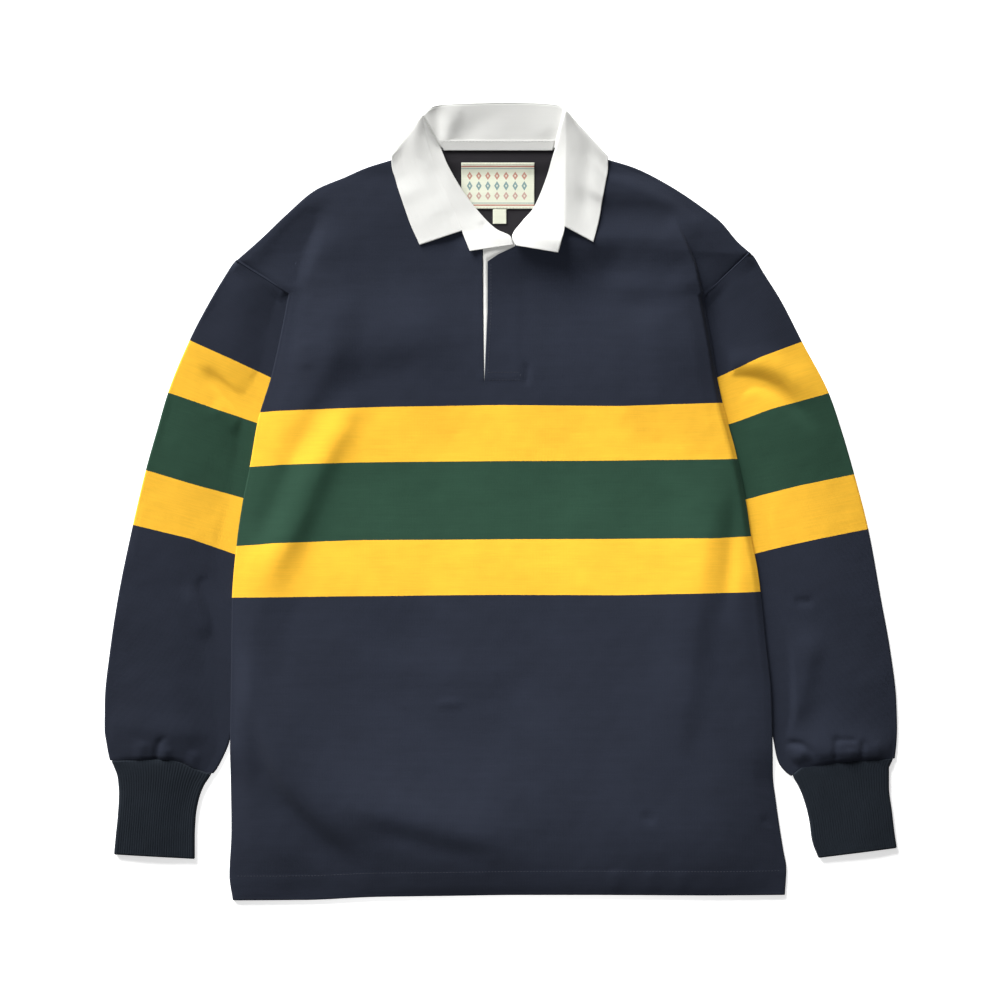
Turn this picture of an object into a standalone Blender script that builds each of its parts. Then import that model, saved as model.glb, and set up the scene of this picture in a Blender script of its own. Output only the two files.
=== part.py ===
"""A long-sleeved rugby shirt laid flat on its back, with its sleeves turned down under its sides.

Frame: metres, +Z up, +Y towards the collar, and the origin on the surface that the shirt lies on,
under the middle of its outline. Tables and functions work in millimetres: x is across, y is up the
shirt, z is height. Left and right are as seen from above. From the surface up lie the sleeves and the
back of the collar, then the back panel, the placket's underlap, the front panel and the collar.
"""

from collections import namedtuple

import bmesh
import bpy
import numpy as np
from mathutils import Vector
from mathutils.geometry import delaunay_2d_cdt

MM = 0.001

# Walls and clearances
JERSEY = 1.3  # heavy cotton jersey, one ply
RIB = 2.1  # the cuff's doubled rib
TWILL = 1.2  # the stand's twill
FALL = 1.6  # the leaf's two plies of twill
THIN = 0.7  # tape, label and underlap
GAP = 0.3  # between pieces that lie on each other or meet at a seam
EASE = 0.5  # between two panels, so that their facets stay clear of each other

# Heights
SLEEVE_RIM = 2 * JERSEY + EASE  # a sleeve pressed flat
OVER_SLEEVE = SLEEVE_RIM + EASE
OVER_LEAF = FALL + EASE
PUFF = 2.6  # air between front and back
PUFF_REACH = 45  # from the side and the hem to the full puff
RAMP = 15  # over which the back panel climbs onto what lies under it
LEDGE = 3  # the back panel is up this far before it reaches that

LEAF_BEHIND = 342.5  # y of the leaf's free edge under the back of the neck

GRID = 30  # between the points inside a panel
EDGE = 24  # between the points along an edge
AROUND = 8  # steps across a sleeve or cuff, above and below
TUBE_SIDE = 1.25  # how far in from its side edge a tube reaches its full height, in walls
TUBE_BORE = 1.1  # how far in from its side edge its hollow starts, in walls

# Edges of the body, as (x, y)
HEM = (
    (-268, -399), (-195, -399), (-126, -396), (-57, -395),
    (20, -393.5), (76, -393), (209, -394), (284, -393.5),
)
SIDE_LEFT = (
    (-268, -399), (-271.5, -375), (-269.5, -330), (-270.5, -247), (-269.5, -180), (-268.5, -100),
    (-263.5, -40), (-257.5, 0), (-250.5, 35), (-242.5, 80), (-229.5, 123), (-218.5, 172), (-212, 206),
)
SIDE_RIGHT = (
    (284, -393.5), (285.5, -365), (281.5, -320), (273.5, -248), (272.5, -200), (264.5, -140), (256.5, -70),
    (250.5, -40), (244.5, 0), (235.5, 44), (221.5, 97), (215, 128), (211, 154), (205, 186), (202, 202.5),
)
NOTCH_LEFT = (-265, 239)
NOTCH_RIGHT = (249.5, 247)
SHOULDER_LEFT = (
    NOTCH_LEFT, (-239, 262), (-214, 286), (-183, 310), (-155, 321), (-133, 331), (-108, 339), (-70, 352),
)
SHOULDER_RIGHT = (
    NOTCH_RIGHT, (237, 258), (219, 279), (209, 287), (164, 315), (132, 331), (107, 339), (68, 352),
)
NECK_FRONT_LEFT = ((-18, 280), (-25, 289), (-42, 312), (-56, 337), (-63, 349), (-70, 352))
NECK_FRONT_RIGHT = ((14, 266), (23, 277), (34, 290), (48, 324), (56, 349), (68, 352))
NECK_BACK = ((68, 352), (54, 350.5), (-60, 350.5), (-70, 352))
SLIT_LEFT = ((-16.5, 118.5), (-17.6, 188), (-18, 280))
SLIT_RIGHT = ((14, 266), (14, 253), (-3, 245), (-13, 238), (-12.8, 188), (-16.5, 118.5))

# The folds of the front that stand out most. Each is higher on its left or right side (side is -1 or 1),
# by height at its foot, and falls away over reach.
Fold = namedtuple("Fold", "side height reach path")
FOLDS = (
    Fold(-1, 3.0, 70, ((178, 275), (190, 250), (197, 232), (200, 212), (202, 202.5))),
    Fold(1, 2.2, 60, ((-186, 280), (-193, 262), (-204, 232), (-212, 206))),
)
FOLD_STEP = 5  # how far the step of a fold spreads

# A sleeve or cuff, from its armhole or seam down: where it is outermost and innermost, how much of it the
# body hides, and how high it stands above its flat rim.
Ring = namedtuple("Ring", "outer_x outer_y inner_x inner_y hidden crown")
SLEEVE_LEFT = (
    Ring(-265.3, 238.6, -174, 181.6, 45, 0),
    Ring(-288, 201, -179, 140, 52, 2.5),
    Ring(-309, 161, -180.5, 99, 57, 3.2),
    Ring(-331, 109, -199, 60.5, 52, 3.4),
    Ring(-343, 70, -211, 26, 46, 3.4),
    Ring(-354, 31, -223.5, -9.5, 39, 3.4),
    Ring(-367, -24, -239, -59.5, 35, 3.4),
    Ring(-383.5, -100, -252, -130, 26, 3.4),
    Ring(-390.5, -150, -260, -174, 17, 3.4),
    Ring(-396, -200, -266.5, -217.5, 9, 3.4),
    Ring(-396.3, -228, -272, -243, 1, 3.4),
    Ring(-394, -243, -277, -258, 0, 3.4),
    Ring(-391, -260, -286, -272.5, 0, 3.0),
)
SLEEVE_RIGHT = (
    Ring(249.9, 246.6, 167.4, 169.2, 48, 0),
    Ring(280, 200, 165.5, 126.5, 52, 2.5),
    Ring(300.5, 159, 163.5, 104, 60, 3.2),
    Ring(327.5, 106, 185.5, 61.5, 53, 3.4),
    Ring(341, 66, 199.5, 29, 46, 3.4),
    Ring(352.5, 26, 213.5, -4, 40, 3.4),
    Ring(367.5, -31, 229, -58, 34, 3.4),
    Ring(380.5, -100, 247.5, -123, 24, 3.4),
    Ring(389.5, -150, 261, -169.5, 16, 3.4),
    Ring(395.5, -200, 268.5, -216, 10, 3.4),
    Ring(396.3, -228, 273.5, -243, 1, 3.4),
    Ring(395.3, -245, 278, -264, 0, 3.4),
    Ring(394, -258, 290, -275.5, 0, 3.0),
)
CUFF_LEFT = (
    Ring(-389.5, -260.6, -288.5, -272.6, 0, 2.0),
    Ring(-383.5, -276, -295, -284, 0, 1.6),
    Ring(-381.5, -293, -300, -297, 0, 1.4),
    Ring(-382.5, -313, -303.5, -316, 0, 1.4),
    Ring(-384.5, -333, -304.5, -338, 0, 1.3),
    Ring(-386.5, -353, -305, -357.5, 0, 1.0),
)
CUFF_RIGHT = (
    Ring(392, -258.8, 292, -275.6, 0, 2.0),
    Ring(388.7, -267, 296.5, -283, 0, 1.6),
    Ring(388.5, -286, 303, -298, 0, 1.4),
    Ring(391.3, -312, 308.5, -320, 0, 1.4),
    Ring(393.5, -331, 311.5, -340, 0, 1.3),
    Ring(396, -346.5, 318, -356.5, 0, 1.0),
)

# The collar's stand, from its left front end round the back of the neck to its right front end: its edge at
# the neck, its edge at the leaf, and how far each is raised above what it lies on.
Band = namedtuple("Band", "on neck_x neck_y neck_lift top_x top_y top_lift")
ON_FRONT, ON_LEAF = "front", "leaf"
STAND = (
    Band(ON_FRONT, 8, 254, 0.0, -31, 248, 0.6),
    Band(ON_FRONT, 8, 262, 0.2, -35, 258, 1.2),
    Band(ON_FRONT, -4, 270, 0.4, -39, 268.5, 2.0),
    Band(ON_FRONT, -23, 289, 0.6, -45, 284, 2.4),
    Band(ON_FRONT, -40, 312, 0.6, -54, 306, 2.4),
    Band(ON_FRONT, -54, 337, 0.6, -66, 335, 2.0),
    Band(ON_FRONT, -59, 349, 0.6, -74.5, 362, 2.0),
    Band(ON_FRONT, -60.5, 351, 0.6, -79, 383.5, 2.0),
    Band(ON_LEAF, -59.5, 352, 0.4, -77.5, 385, 2.6),
    Band(ON_LEAF, -45, 352, 0.4, -66, 392.5, 3.2),
    Band(ON_LEAF, -22, 352, 0.4, -30, 394.5, 3.4),
    Band(ON_LEAF, 0, 352, 0.4, 0, 395, 3.4),
    Band(ON_LEAF, 22, 352, 0.4, 28, 394.8, 3.4),
    Band(ON_LEAF, 45, 352, 0.4, 56, 393, 3.2),
    Band(ON_LEAF, 53.5, 352, 0.4, 63, 390, 3.0),
    Band(ON_FRONT, 54.5, 351, 0.6, 64.8, 388, 3.0),
    Band(ON_FRONT, 51, 341, 0.6, 64.8, 362, 7.0),
    Band(ON_FRONT, 46, 324, 0.6, 64.5, 330, 9.0),
    Band(ON_FRONT, 32, 291, 0.6, 64, 298, 9.0),
    Band(ON_FRONT, 21, 278, 0.6, 63.5, 272, 7.0),
    Band(ON_FRONT, 11, 262, 0.4, 60, 257, 3.4),
    Band(ON_FRONT, 15, 253, 0.2, 57, 246, 1.6),
)

# The collar's leaf, from its left point behind the neck to its right point: its edge at the stand, its free
# edge, and how it lies: over the front, turned under at a corner, or under the back.
Leaf = namedtuple("Leaf", "lies seam_x seam_y seam_lift free_x free_y")
OVER, TURN, UNDER = "over", "turn", "under"
LEAF = (
    Leaf(OVER, -40.2, 268, 2.0, -81, 254.5),
    Leaf(OVER, -46.2, 284.5, 2.4, -91, 277),
    Leaf(OVER, -55.2, 306.5, 2.4, -99, 300),
    Leaf(OVER, -67.2, 335.5, 2.0, -105.5, 321),
    Leaf(OVER, -75.7, 362.5, 2.0, -109, 333),
    Leaf(TURN, -81, 387, 0, -112, 343.5),
    Leaf(UNDER, -68, 393.6, 3.2, -98, 343.5),
    Leaf(UNDER, -31, 395.6, 3.4, -45, LEAF_BEHIND),
    Leaf(UNDER, 0, 396.1, 3.4, 0, LEAF_BEHIND),
    Leaf(UNDER, 29, 395.9, 3.4, 42, LEAF_BEHIND),
    Leaf(UNDER, 58, 394.2, 3.2, 94, 343.5),
    Leaf(TURN, 68.5, 395, 0, 112, 343.5),
    Leaf(OVER, 66.4, 380, 4.0, 109, 333),
    Leaf(OVER, 66.2, 360, 7.2, 106.5, 321),
    Leaf(OVER, 65.8, 330, 9.0, 103.5, 306),
    Leaf(OVER, 65.3, 298, 9.0, 99.5, 288),
    Leaf(OVER, 64.7, 272.5, 7.0, 92, 257),
)
OVER_ACROSS = np.array((0, 0.08, 0.18, 0.32, 0.5, 0.74, 1.0))  # a row's points, from the stand out
TURN_ACROSS = np.array((0, 0.06, 0.12, 0.2, 0.42, 0.7, 1.0))
ROLL = np.radians((90, 30, -30, -90))  # of the crest behind the neck, from the stand over and back under
LEAF_SAG = 2  # the power by which the leaf falls away from the stand
TURN_HEIGHT = 6.4  # of the fold where the leaf turns under

TAPE = ((-57, 349.5), (51.5, 349.5), (53.5, 360), (-61.5, 360))
LABEL = ((-39.5, 291.5), (33.5, 291.5), (33.5, 337.5), (-39.5, 337.5))
SIZE_TAB = ((-8, 276.5), (5.5, 276.5), (5.5, 291), (-8, 291))
UNDERLAP = ((-30, 112), (16, 112), (16, 258), (5, 262), (-30, 250))

# Finishes, as (red, green, blue, roughness)
NAVY_JERSEY = (0.019, 0.023, 0.040, 0.9)
NAVY_RIB = (0.014, 0.018, 0.026, 0.9)
WHITE_TWILL = (0.83, 0.83, 0.80, 0.8)
CREAM_WEAVE = (0.72, 0.66, 0.52, 0.8)
SHARP = np.radians(40)  # edges bent by more than this are shaded sharp


# ---------------------------------------------------------------- plane geometry


def curve_through(points, step):
    """Points about step apart on a Catmull-Rom curve through the given ones."""
    knots = np.array(points, float)
    knots = np.vstack([2 * knots[0] - knots[1], knots, 2 * knots[-1] - knots[-2]])
    found = []
    for before, start, end, after in zip(knots, knots[1:], knots[2:], knots[3:]):
        count = max(1, round(np.linalg.norm(end - start) / step))
        t = np.arange(count)[:, None] / count
        found.append(
            start
            + t / 2 * (end - before)
            + t**2 / 2 * (2 * before - 5 * start + 4 * end - after)
            + t**3 / 2 * (3 * start - 3 * end + after - before)
        )
    return np.vstack(found + [knots[-2]])


def line_through(points, step):
    """Points at most step apart on the straight lines between the given ones."""
    knots = np.array(points, float)
    found = []
    for start, end in zip(knots, knots[1:]):
        count = int(np.ceil(np.linalg.norm(end - start) / step))
        found.append(start + (end - start) * np.arange(count)[:, None] / count)
    return np.vstack(found + [knots[-1]])


def joined(*edges):
    """One closed outline from edges that each start where the last one ended."""
    return np.vstack([edge[:-1] for edge in edges])


def closed(corners):
    """The outline of a small piece, from its corners."""
    return joined(line_through((*corners, corners[0]), EDGE))


def distance_to(path, x, y):
    """The distance of each point (x, y) from an open path."""
    points = np.stack([np.ravel(x), np.ravel(y)], axis=1)[:, None]
    starts, ends = path[:-1], path[1:]
    along = ends - starts
    t = ((points - starts) * along).sum(axis=2) / (along**2).sum(axis=1)
    nearest = starts + np.clip(t, 0, 1)[..., None] * along
    return np.linalg.norm(points - nearest, axis=2).min(axis=1).reshape(np.shape(x))


def inside(outline, x, y):
    """Whether each point lies inside the closed outline: a line from it crosses an odd number of sides."""
    crossings = np.zeros(np.shape(x), int)
    for (x0, y0), (x1, y1) in zip(outline, np.roll(outline, -1, axis=0)):
        if y0 != y1:
            crossings += ((y0 > y) != (y1 > y)) & (x < x0 + (y - y0) * (x1 - x0) / (y1 - y0))
    return crossings % 2 == 1


def beside(path, offset):
    """The path moved sideways, to its left where offset is above zero."""
    along = np.gradient(path, axis=0)
    along /= np.linalg.norm(along, axis=1)[:, None]
    return path + offset * np.stack([-along[:, 1], along[:, 0]], axis=1)


# ---------------------------------------------------------------- outlines

EDGES_LEFT = (
    curve_through(SIDE_LEFT, EDGE),
    line_through((SIDE_LEFT[-1], NOTCH_LEFT), RAMP),
    curve_through(SHOULDER_LEFT, EDGE),
)
EDGES_RIGHT = (
    curve_through(SIDE_RIGHT, EDGE),
    line_through((SIDE_RIGHT[-1], NOTCH_RIGHT), RAMP),
    curve_through(SHOULDER_RIGHT, EDGE),
)
HEM_EDGE = curve_through(HEM, EDGE)
NECK_EDGE = (
    line_through(NECK_FRONT_RIGHT[::-1], EDGE),
    line_through(SLIT_RIGHT, EDGE),
    line_through(SLIT_LEFT, EDGE),
    line_through(NECK_FRONT_LEFT, EDGE),
)
LEFT_DOWN = [edge[::-1] for edge in EDGES_LEFT[::-1]]
FRONT_OUTLINE = joined(HEM_EDGE, *EDGES_RIGHT, *NECK_EDGE, *LEFT_DOWN)
BACK_OUTLINE = joined(HEM_EDGE, *EDGES_RIGHT, line_through(NECK_BACK, EDGE), *LEFT_DOWN)
RIM = (HEM_EDGE, *EDGES_LEFT, *EDGES_RIGHT)


def tucked_edge(side, rings):
    """The edge of a sleeve's part under the body, from where its armhole goes under the side."""
    return np.vstack([side[-1], [(ring.inner_x, ring.inner_y) for ring in rings if ring.hidden]])


def sleeve_outline(rings):
    """The outline of a sleeve as far as the body covers any of it."""
    covered = [ring for ring in rings if ring.hidden]
    inner = [(ring.inner_x, ring.inner_y) for ring in covered]
    return np.array(inner + [(ring.outer_x, ring.outer_y) for ring in covered[::-1]], float)


TUCKED_LEFT = tucked_edge(EDGES_LEFT[0], SLEEVE_LEFT)
TUCKED_RIGHT = tucked_edge(EDGES_RIGHT[0], SLEEVE_RIGHT)
TUCKED = ((TUCKED_LEFT, sleeve_outline(SLEEVE_LEFT)), (TUCKED_RIGHT, sleeve_outline(SLEEVE_RIGHT)))


# ---------------------------------------------------------------- heights


def back_underside(x, y):
    """The back panel lies on the surface, and climbs onto the sleeves and onto the leaf behind the neck."""
    height = OVER_LEAF * np.clip((y - (LEAF_BEHIND - LEDGE - RAMP)) / RAMP, 0, 1)
    for edge, outline in TUCKED:
        away = np.where(inside(outline, x, y), 0, distance_to(edge, x, y))
        height = np.maximum(height, OVER_SLEEVE * np.clip(1 - (away - LEDGE) / RAMP, 0, 1))
    return height


def back_top(x, y):
    return back_underside(x, y) + JERSEY


def folds(x, y):
    """The steps of the folds: up over FOLD_STEP on the high side of a path, and down again over its reach."""
    height = np.zeros(np.shape(x))
    for fold in FOLDS:
        path = curve_through(fold.path, EDGE)
        away = distance_to(path, x, y)
        nearest = np.argmin(np.hypot(path[:, 0, None] - np.ravel(x), path[:, 1, None] - np.ravel(y)), axis=0)
        side = np.sign(np.ravel(x) - path[nearest, 0]).reshape(np.shape(x)) * fold.side
        step = np.clip(away / FOLD_STEP, 0, 1) * np.clip(1 - (away - FOLD_STEP) / fold.reach, 0, 1)
        height += np.where(side > 0, fold.height * step, 0)
    return height


def front_underside(x, y):
    """The front panel lies on the back at its rim and puffs up inside it, with its folds on top."""
    away = np.min([distance_to(edge, x, y) for edge in RIM], axis=0)
    puff = PUFF * np.sin(np.clip(away / PUFF_REACH, 0, 1) * np.pi / 2)
    return back_top(x, y) + EASE + puff + folds(x, y) * np.clip(away / FOLD_STEP, 0, 1)


def front_top(x, y):
    return front_underside(x, y) + JERSEY


def underlap_underside(x, y):
    return front_underside(x, y) - EASE - THIN


def label_underside(x, y):
    return back_top(x, y) + GAP


LEDGE_LINES = [
    beside(edge, offset * away)
    for edge, away in ((TUCKED_LEFT, 1), (TUCKED_RIGHT, -1))
    for offset in (LEDGE, LEDGE + RAMP)
]
NECK_LINES = [
    np.array(((-170, LEAF_BEHIND - LEDGE - drop), (170, LEAF_BEHIND - LEDGE - drop))) for drop in (0, RAMP)
]
FOLD_LINES = [
    beside(curve_through(fold.path, EDGE), offset)
    for fold in FOLDS
    for offset in (0, fold.side * FOLD_STEP)
]
LINES = LEDGE_LINES + NECK_LINES + FOLD_LINES


# ---------------------------------------------------------------- making solids


def new_material(name, finish):
    material = bpy.data.materials.new(name)
    *colour, roughness = finish
    material.use_nodes = True
    shader = material.node_tree.nodes["Principled BSDF"]
    shader.inputs["Base Color"].default_value = (*colour, 1)
    shader.inputs["Roughness"].default_value = roughness
    return material


def new_object(name, points, faces, finish):
    """A mesh object from points in millimetres."""
    mesh = bpy.data.meshes.new(name)
    mesh.from_pydata((np.asarray(points) * MM).tolist(), [], faces.tolist())
    mesh.materials.append(new_material(name, finish))
    mesh.shade_smooth()
    mesh.set_sharp_from_angle(angle=SHARP)
    made = bpy.data.objects.new(name, mesh)
    SHIRT.objects.link(made)
    return made


def thicken(mesh, wall):
    """Makes an open surface a closed one, wall thick straight up, so that gaps at seams stay as they are."""
    shape = bmesh.new()
    shape.from_mesh(mesh)
    unused = [vertex for vertex in shape.verts if not vertex.link_faces]
    bmesh.ops.delete(shape, geom=unused, context="VERTS")
    raised = bmesh.ops.extrude_face_region(shape, geom=shape.faces[:])["geom"]
    top = [item for item in raised if isinstance(item, bmesh.types.BMVert)]
    bmesh.ops.translate(shape, vec=(0, 0, wall * MM), verts=top)
    bmesh.ops.recalc_face_normals(shape, faces=shape.faces[:])
    shape.to_mesh(mesh)
    shape.free()


def panel(name, outline, lines, underside, wall, finish):
    """A pattern piece: its outline filled with triangles, laid at the height underside(x, y) and made wall
    thick. Lines are paths that its triangles follow, such as the foot of a ramp."""
    fixed = np.vstack([outline, *lines])
    low, high = outline.min(axis=0), outline.max(axis=0)
    x, y = np.meshgrid(*[np.arange(start + GRID / 2, end, GRID) for start, end in zip(low, high)])
    x, y = x.ravel(), y.ravel()
    apart = np.hypot(x[:, None] - fixed[:, 0], y[:, None] - fixed[:, 1]).min(axis=1)
    kept = inside(outline, x, y) & (apart > GRID / 2)
    points = np.vstack([fixed, np.stack([x[kept], y[kept]], axis=1)])
    count = len(outline)
    edges = [(i, (i + 1) % count) for i in range(count)]
    for line in lines:
        edges += [(count + i, count + i + 1) for i in range(len(line) - 1)]
        count += len(line)
    found = delaunay_2d_cdt([Vector(point) for point in points], edges, [], 0, 1e-3)
    flat, triangles = np.array([tuple(vertex) for vertex in found[0]]), np.array(found[2])
    middles = flat[triangles].mean(axis=1)
    triangles = triangles[inside(outline, middles[:, 0], middles[:, 1])]
    heights = underside(flat[:, 0], flat[:, 1])
    made = new_object(name, np.column_stack([flat, heights]), triangles, finish)
    thicken(made.data, wall)


def loft(stacks):
    """Faces of an open tube with a wall, from its two equal stacks of rings, outside and inside. Both run
    clockwise as seen from the first ring."""
    at = np.arange(stacks[..., 0].size).reshape(stacks.shape[:3])
    after = np.roll(at, -1, axis=2)
    outside = np.stack([at[0, :-1], after[0, :-1], after[0, 1:], at[0, 1:]], axis=-1)
    inside = np.stack([at[1, :-1], at[1, 1:], after[1, 1:], after[1, :-1]], axis=-1)
    first = np.stack([at[0, 0], at[1, 0], after[1, 0], after[0, 0]], axis=-1)
    last = np.stack([at[0, -1], after[0, -1], after[1, -1], at[1, -1]], axis=-1)
    return np.vstack([faces.reshape(-1, 4) for faces in (outside, inside, first, last)])


def tube(name, rings, wall, finish, flip):
    """A sleeve or cuff pressed flat: each ring has a flat underside, a rim that stays low where the body
    covers it, and a crown over the rest. flip is -1 where the rings run the other way round."""
    outer, inner = [], []
    rim = 2 * wall + EASE
    end = TUBE_SIDE * wall
    for ring in rings:
        start = np.array((ring.inner_x, ring.inner_y), float)
        along = np.array((ring.outer_x, ring.outer_y)) - start
        width = np.linalg.norm(along)
        s = np.linspace(end, width - end, AROUND + 1)
        shown = np.clip((s - ring.hidden - LEDGE) / (width - ring.hidden - LEDGE - end), 0, 1)
        top = rim + ring.crown * np.sin(np.pi * shown)
        for stack, inset, lowered in ((outer, 0, 0), (inner, TUBE_BORE * wall, wall)):
            squeezed = inset + np.concatenate([[0], s, [width], s[::-1]]) * (1 - 2 * inset / width)
            z = np.concatenate([[rim / 2], top - lowered, [rim / 2], np.full(AROUND + 1, lowered)])
            stack.append(np.column_stack([start + squeezed[:, None] * along / width, z])[::flip])
    stacks = np.array([outer, inner])
    new_object(name, stacks.reshape(-1, 3), loft(stacks), finish)


def ribbon(name, rows, wall, finish):
    """A band of cloth through rows of points, each row across the band, made wall thick both ways."""
    grid = np.array(rows, float)
    long, wide = grid.shape[:2]
    at = np.arange(long * wide).reshape(long, wide)
    faces = np.stack([at[:-1, :-1], at[:-1, 1:], at[1:, 1:], at[1:, :-1]], axis=-1).reshape(-1, 4)
    made = new_object(name, grid.reshape(-1, 3), faces, finish)
    solid = made.modifiers.new("wall", "SOLIDIFY")
    solid.thickness = wall * MM
    solid.offset = 0


# ---------------------------------------------------------------- the collar


def resting(on, x, y, wall):
    """The height of a wall's middle where it lies on the front panel or on the leaf behind the neck."""
    return (float(front_top(x, y)) if on == ON_FRONT else FALL) + EASE + wall / 2


def stand_rows():
    """Each row runs from the neck edge to the leaf, in four points."""
    rows = []
    for band in STAND:
        neck_z = resting(band.on, band.neck_x, band.neck_y, TWILL) + band.neck_lift
        top_z = resting(band.on, band.top_x, band.top_y, TWILL) + band.top_lift
        ends = np.array(((band.neck_x, band.neck_y, neck_z), (band.top_x, band.top_y, top_z)))
        rows.append([ends[0] + (ends[1] - ends[0]) * t for t in (0, 0.33, 0.67, 1)])
    return rows


def leaf_rows():
    """Each row runs from the stand to the free edge. Behind the neck it rolls over the stand's edge and
    comes back under it, and at each corner the whole row lies in the fold."""
    rows = []
    low = FALL / 2
    for leaf in LEAF:
        seam, free = np.array((leaf.seam_x, leaf.seam_y)), np.array((leaf.free_x, leaf.free_y))
        if leaf.lies == OVER:
            seam_z = resting(ON_FRONT, *seam, TWILL) + leaf.seam_lift
            free_z = resting(ON_FRONT, *free, FALL) + GAP
            plan = seam + (free - seam) * OVER_ACROSS[:, None]
            z = free_z + (seam_z - free_z) * (1 - OVER_ACROSS) ** LEAF_SAG
        elif leaf.lies == TURN:
            plan = seam + (free - seam) * TURN_ACROSS[:, None]
            z = np.full(len(TURN_ACROSS), TURN_HEIGHT)
        else:
            seam_z = resting(ON_LEAF, *seam, TWILL) + leaf.seam_lift
            radius = (seam_z - low) / 2
            outward = (seam - free) / np.linalg.norm(seam - free)
            flat = seam + (free - seam) * np.array((1 / 3, 2 / 3, 1))[:, None]
            plan = np.vstack([seam + outward * radius * np.cos(ROLL)[:, None], flat])
            z = np.concatenate([low + radius * (1 + np.sin(ROLL)), np.full(len(flat), low)])
        rows.append(np.column_stack([plan, z]))
    return rows


def tape_underside(x, y):
    """The tape lies on the stand's lower edge and on the top of the back panel."""
    middle = STAND[len(STAND) // 2]
    slope = (middle.top_lift - middle.neck_lift) / (middle.top_y - middle.neck_y)
    stand_top = FALL + EASE + TWILL + middle.neck_lift + slope * np.maximum(y - middle.neck_y, 0)
    return np.maximum(stand_top, back_top(x, y)) + GAP


# ---------------------------------------------------------------- the shirt

for old in list(bpy.data.objects):
    bpy.data.objects.remove(old)
SHIRT = bpy.data.collections.new("rugby shirt")
bpy.context.scene.collection.children.link(SHIRT)

panel("back", BACK_OUTLINE, LINES, back_underside, JERSEY, NAVY_JERSEY)
panel("front", FRONT_OUTLINE, LINES, front_underside, JERSEY, NAVY_JERSEY)
for side, flip, sleeve, cuff in (
    ("left", 1, SLEEVE_LEFT, CUFF_LEFT),
    ("right", -1, SLEEVE_RIGHT, CUFF_RIGHT),
):
    tube("sleeve_" + side, sleeve, JERSEY, NAVY_JERSEY, flip)
    tube("cuff_" + side, cuff, RIB, NAVY_RIB, flip)
ribbon("collar_stand", stand_rows(), TWILL, WHITE_TWILL)
ribbon("collar_leaf", leaf_rows(), FALL, WHITE_TWILL)
panel("placket_underlap", closed(UNDERLAP), [], underlap_underside, THIN, WHITE_TWILL)
panel("neck_tape", closed(TAPE), [], tape_underside, THIN, WHITE_TWILL)
panel("neck_label", closed(LABEL), NECK_LINES, label_underside, THIN, CREAM_WEAVE)
panel("size_tab", closed(SIZE_TAB), [], label_underside, THIN, CREAM_WEAVE)
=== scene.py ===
"""A long-sleeved rugby shirt laid flat on its back: hooped jersey, ribbed cuffs and a white twill collar.

Everything is in the frame's axes: +Z up, +Y towards the collar, the origin on the surface under the
middle of the shirt. Tables and functions work in millimetres, x across, y up the shirt and z in height,
and new_piece() turns them into metres. Left and right are as seen from above. A cloth is first worked
out as the surface through the middle of its wall, and cloth() closes it into a shell with rounded rims.
"""

from collections import namedtuple

import bpy
import numpy as np
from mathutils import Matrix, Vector


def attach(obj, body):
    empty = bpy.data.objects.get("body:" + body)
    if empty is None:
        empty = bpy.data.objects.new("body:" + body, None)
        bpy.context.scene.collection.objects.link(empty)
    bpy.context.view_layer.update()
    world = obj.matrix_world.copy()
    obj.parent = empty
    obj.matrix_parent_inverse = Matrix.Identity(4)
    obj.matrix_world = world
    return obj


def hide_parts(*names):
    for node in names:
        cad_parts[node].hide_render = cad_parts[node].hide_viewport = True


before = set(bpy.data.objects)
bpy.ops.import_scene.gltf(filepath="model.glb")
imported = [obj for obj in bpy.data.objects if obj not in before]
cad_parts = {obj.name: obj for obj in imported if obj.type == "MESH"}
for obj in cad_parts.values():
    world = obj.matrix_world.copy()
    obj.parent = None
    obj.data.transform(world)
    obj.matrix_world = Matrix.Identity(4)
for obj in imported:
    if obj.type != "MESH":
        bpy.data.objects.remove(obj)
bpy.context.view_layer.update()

MM = 0.001

# ---------------------------------------------------------------- sizes, in millimetres

JERSEY = 1.2
RIB = 1.9
TWILL = 1.0  # the collar's stand, one ply
FALL = 1.4  # the collar's leaf, two plies
THIN = 0.6  # tape, label and underlap
EASE = 0.5  # between two panels
ROUND = 0.6  # how far in from its rim a shell is rounded, in walls

SLEEVE_RIM = 3.1  # height of a sleeve pressed flat
OVER_SLEEVE = 3.6  # height of the back panel where it lies on a sleeve
OVER_LEAF = 2.1  # and where it lies on the leaf behind the neck
LEAF_BEHIND = 342.5  # y of the leaf's free edge behind the neck
LEDGE = 3  # the back panel is up this far before what it climbs onto
BESIDE = 9  # a sleeve stays low this far out from the body
PUFF = 6.2  # air between front and back
PUFF_REACH = 64  # from a side seam to the full puff
HEM_REACH = 80  # and from the hem
HEM_DEPTH = 26  # of the turned-up hem
SEAM_ROLL = 1.6  # how far from a seam the front rises off the back
SEAM_GAP = 0.12  # of the front's middle over the back's surface, at a seam
SEWN_HEIGHT = 5.0  # a sleeve is sewn on at this height
SEAM_DROP = 14  # and comes down from it over this
BACK_CLIMB, FRONT_CLIMB, LEAF_CLIMB = 18, 42, 16  # over which the panels climb onto a sleeve, and onto the leaf
HEM_STEP, FLAP_STEP = 0.3, 0.35  # by which the turned-up hem and the placket's flap stand up
CREASE_ENDS = 0.3  # the share of its path over which a crease dies away at each end
LAID_GAP, TAPE_GAP = 0.3, 0.25  # beneath the small pieces, and beneath the neck tape

# ---------------------------------------------------------------- reading the tables


def points(text):
    """The points of a path: an x and a y for each, and commas between them."""
    return np.array([point.split() for point in text.split(",")], float)


def paths(text):
    """A path from each line."""
    return [points(line) for line in text.strip().splitlines()]


def rows(text):
    """A row of numbers from each line."""
    return np.array([line.split() for line in text.strip().splitlines()], float)


Crease = namedtuple("Crease", "height left right path")


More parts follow.
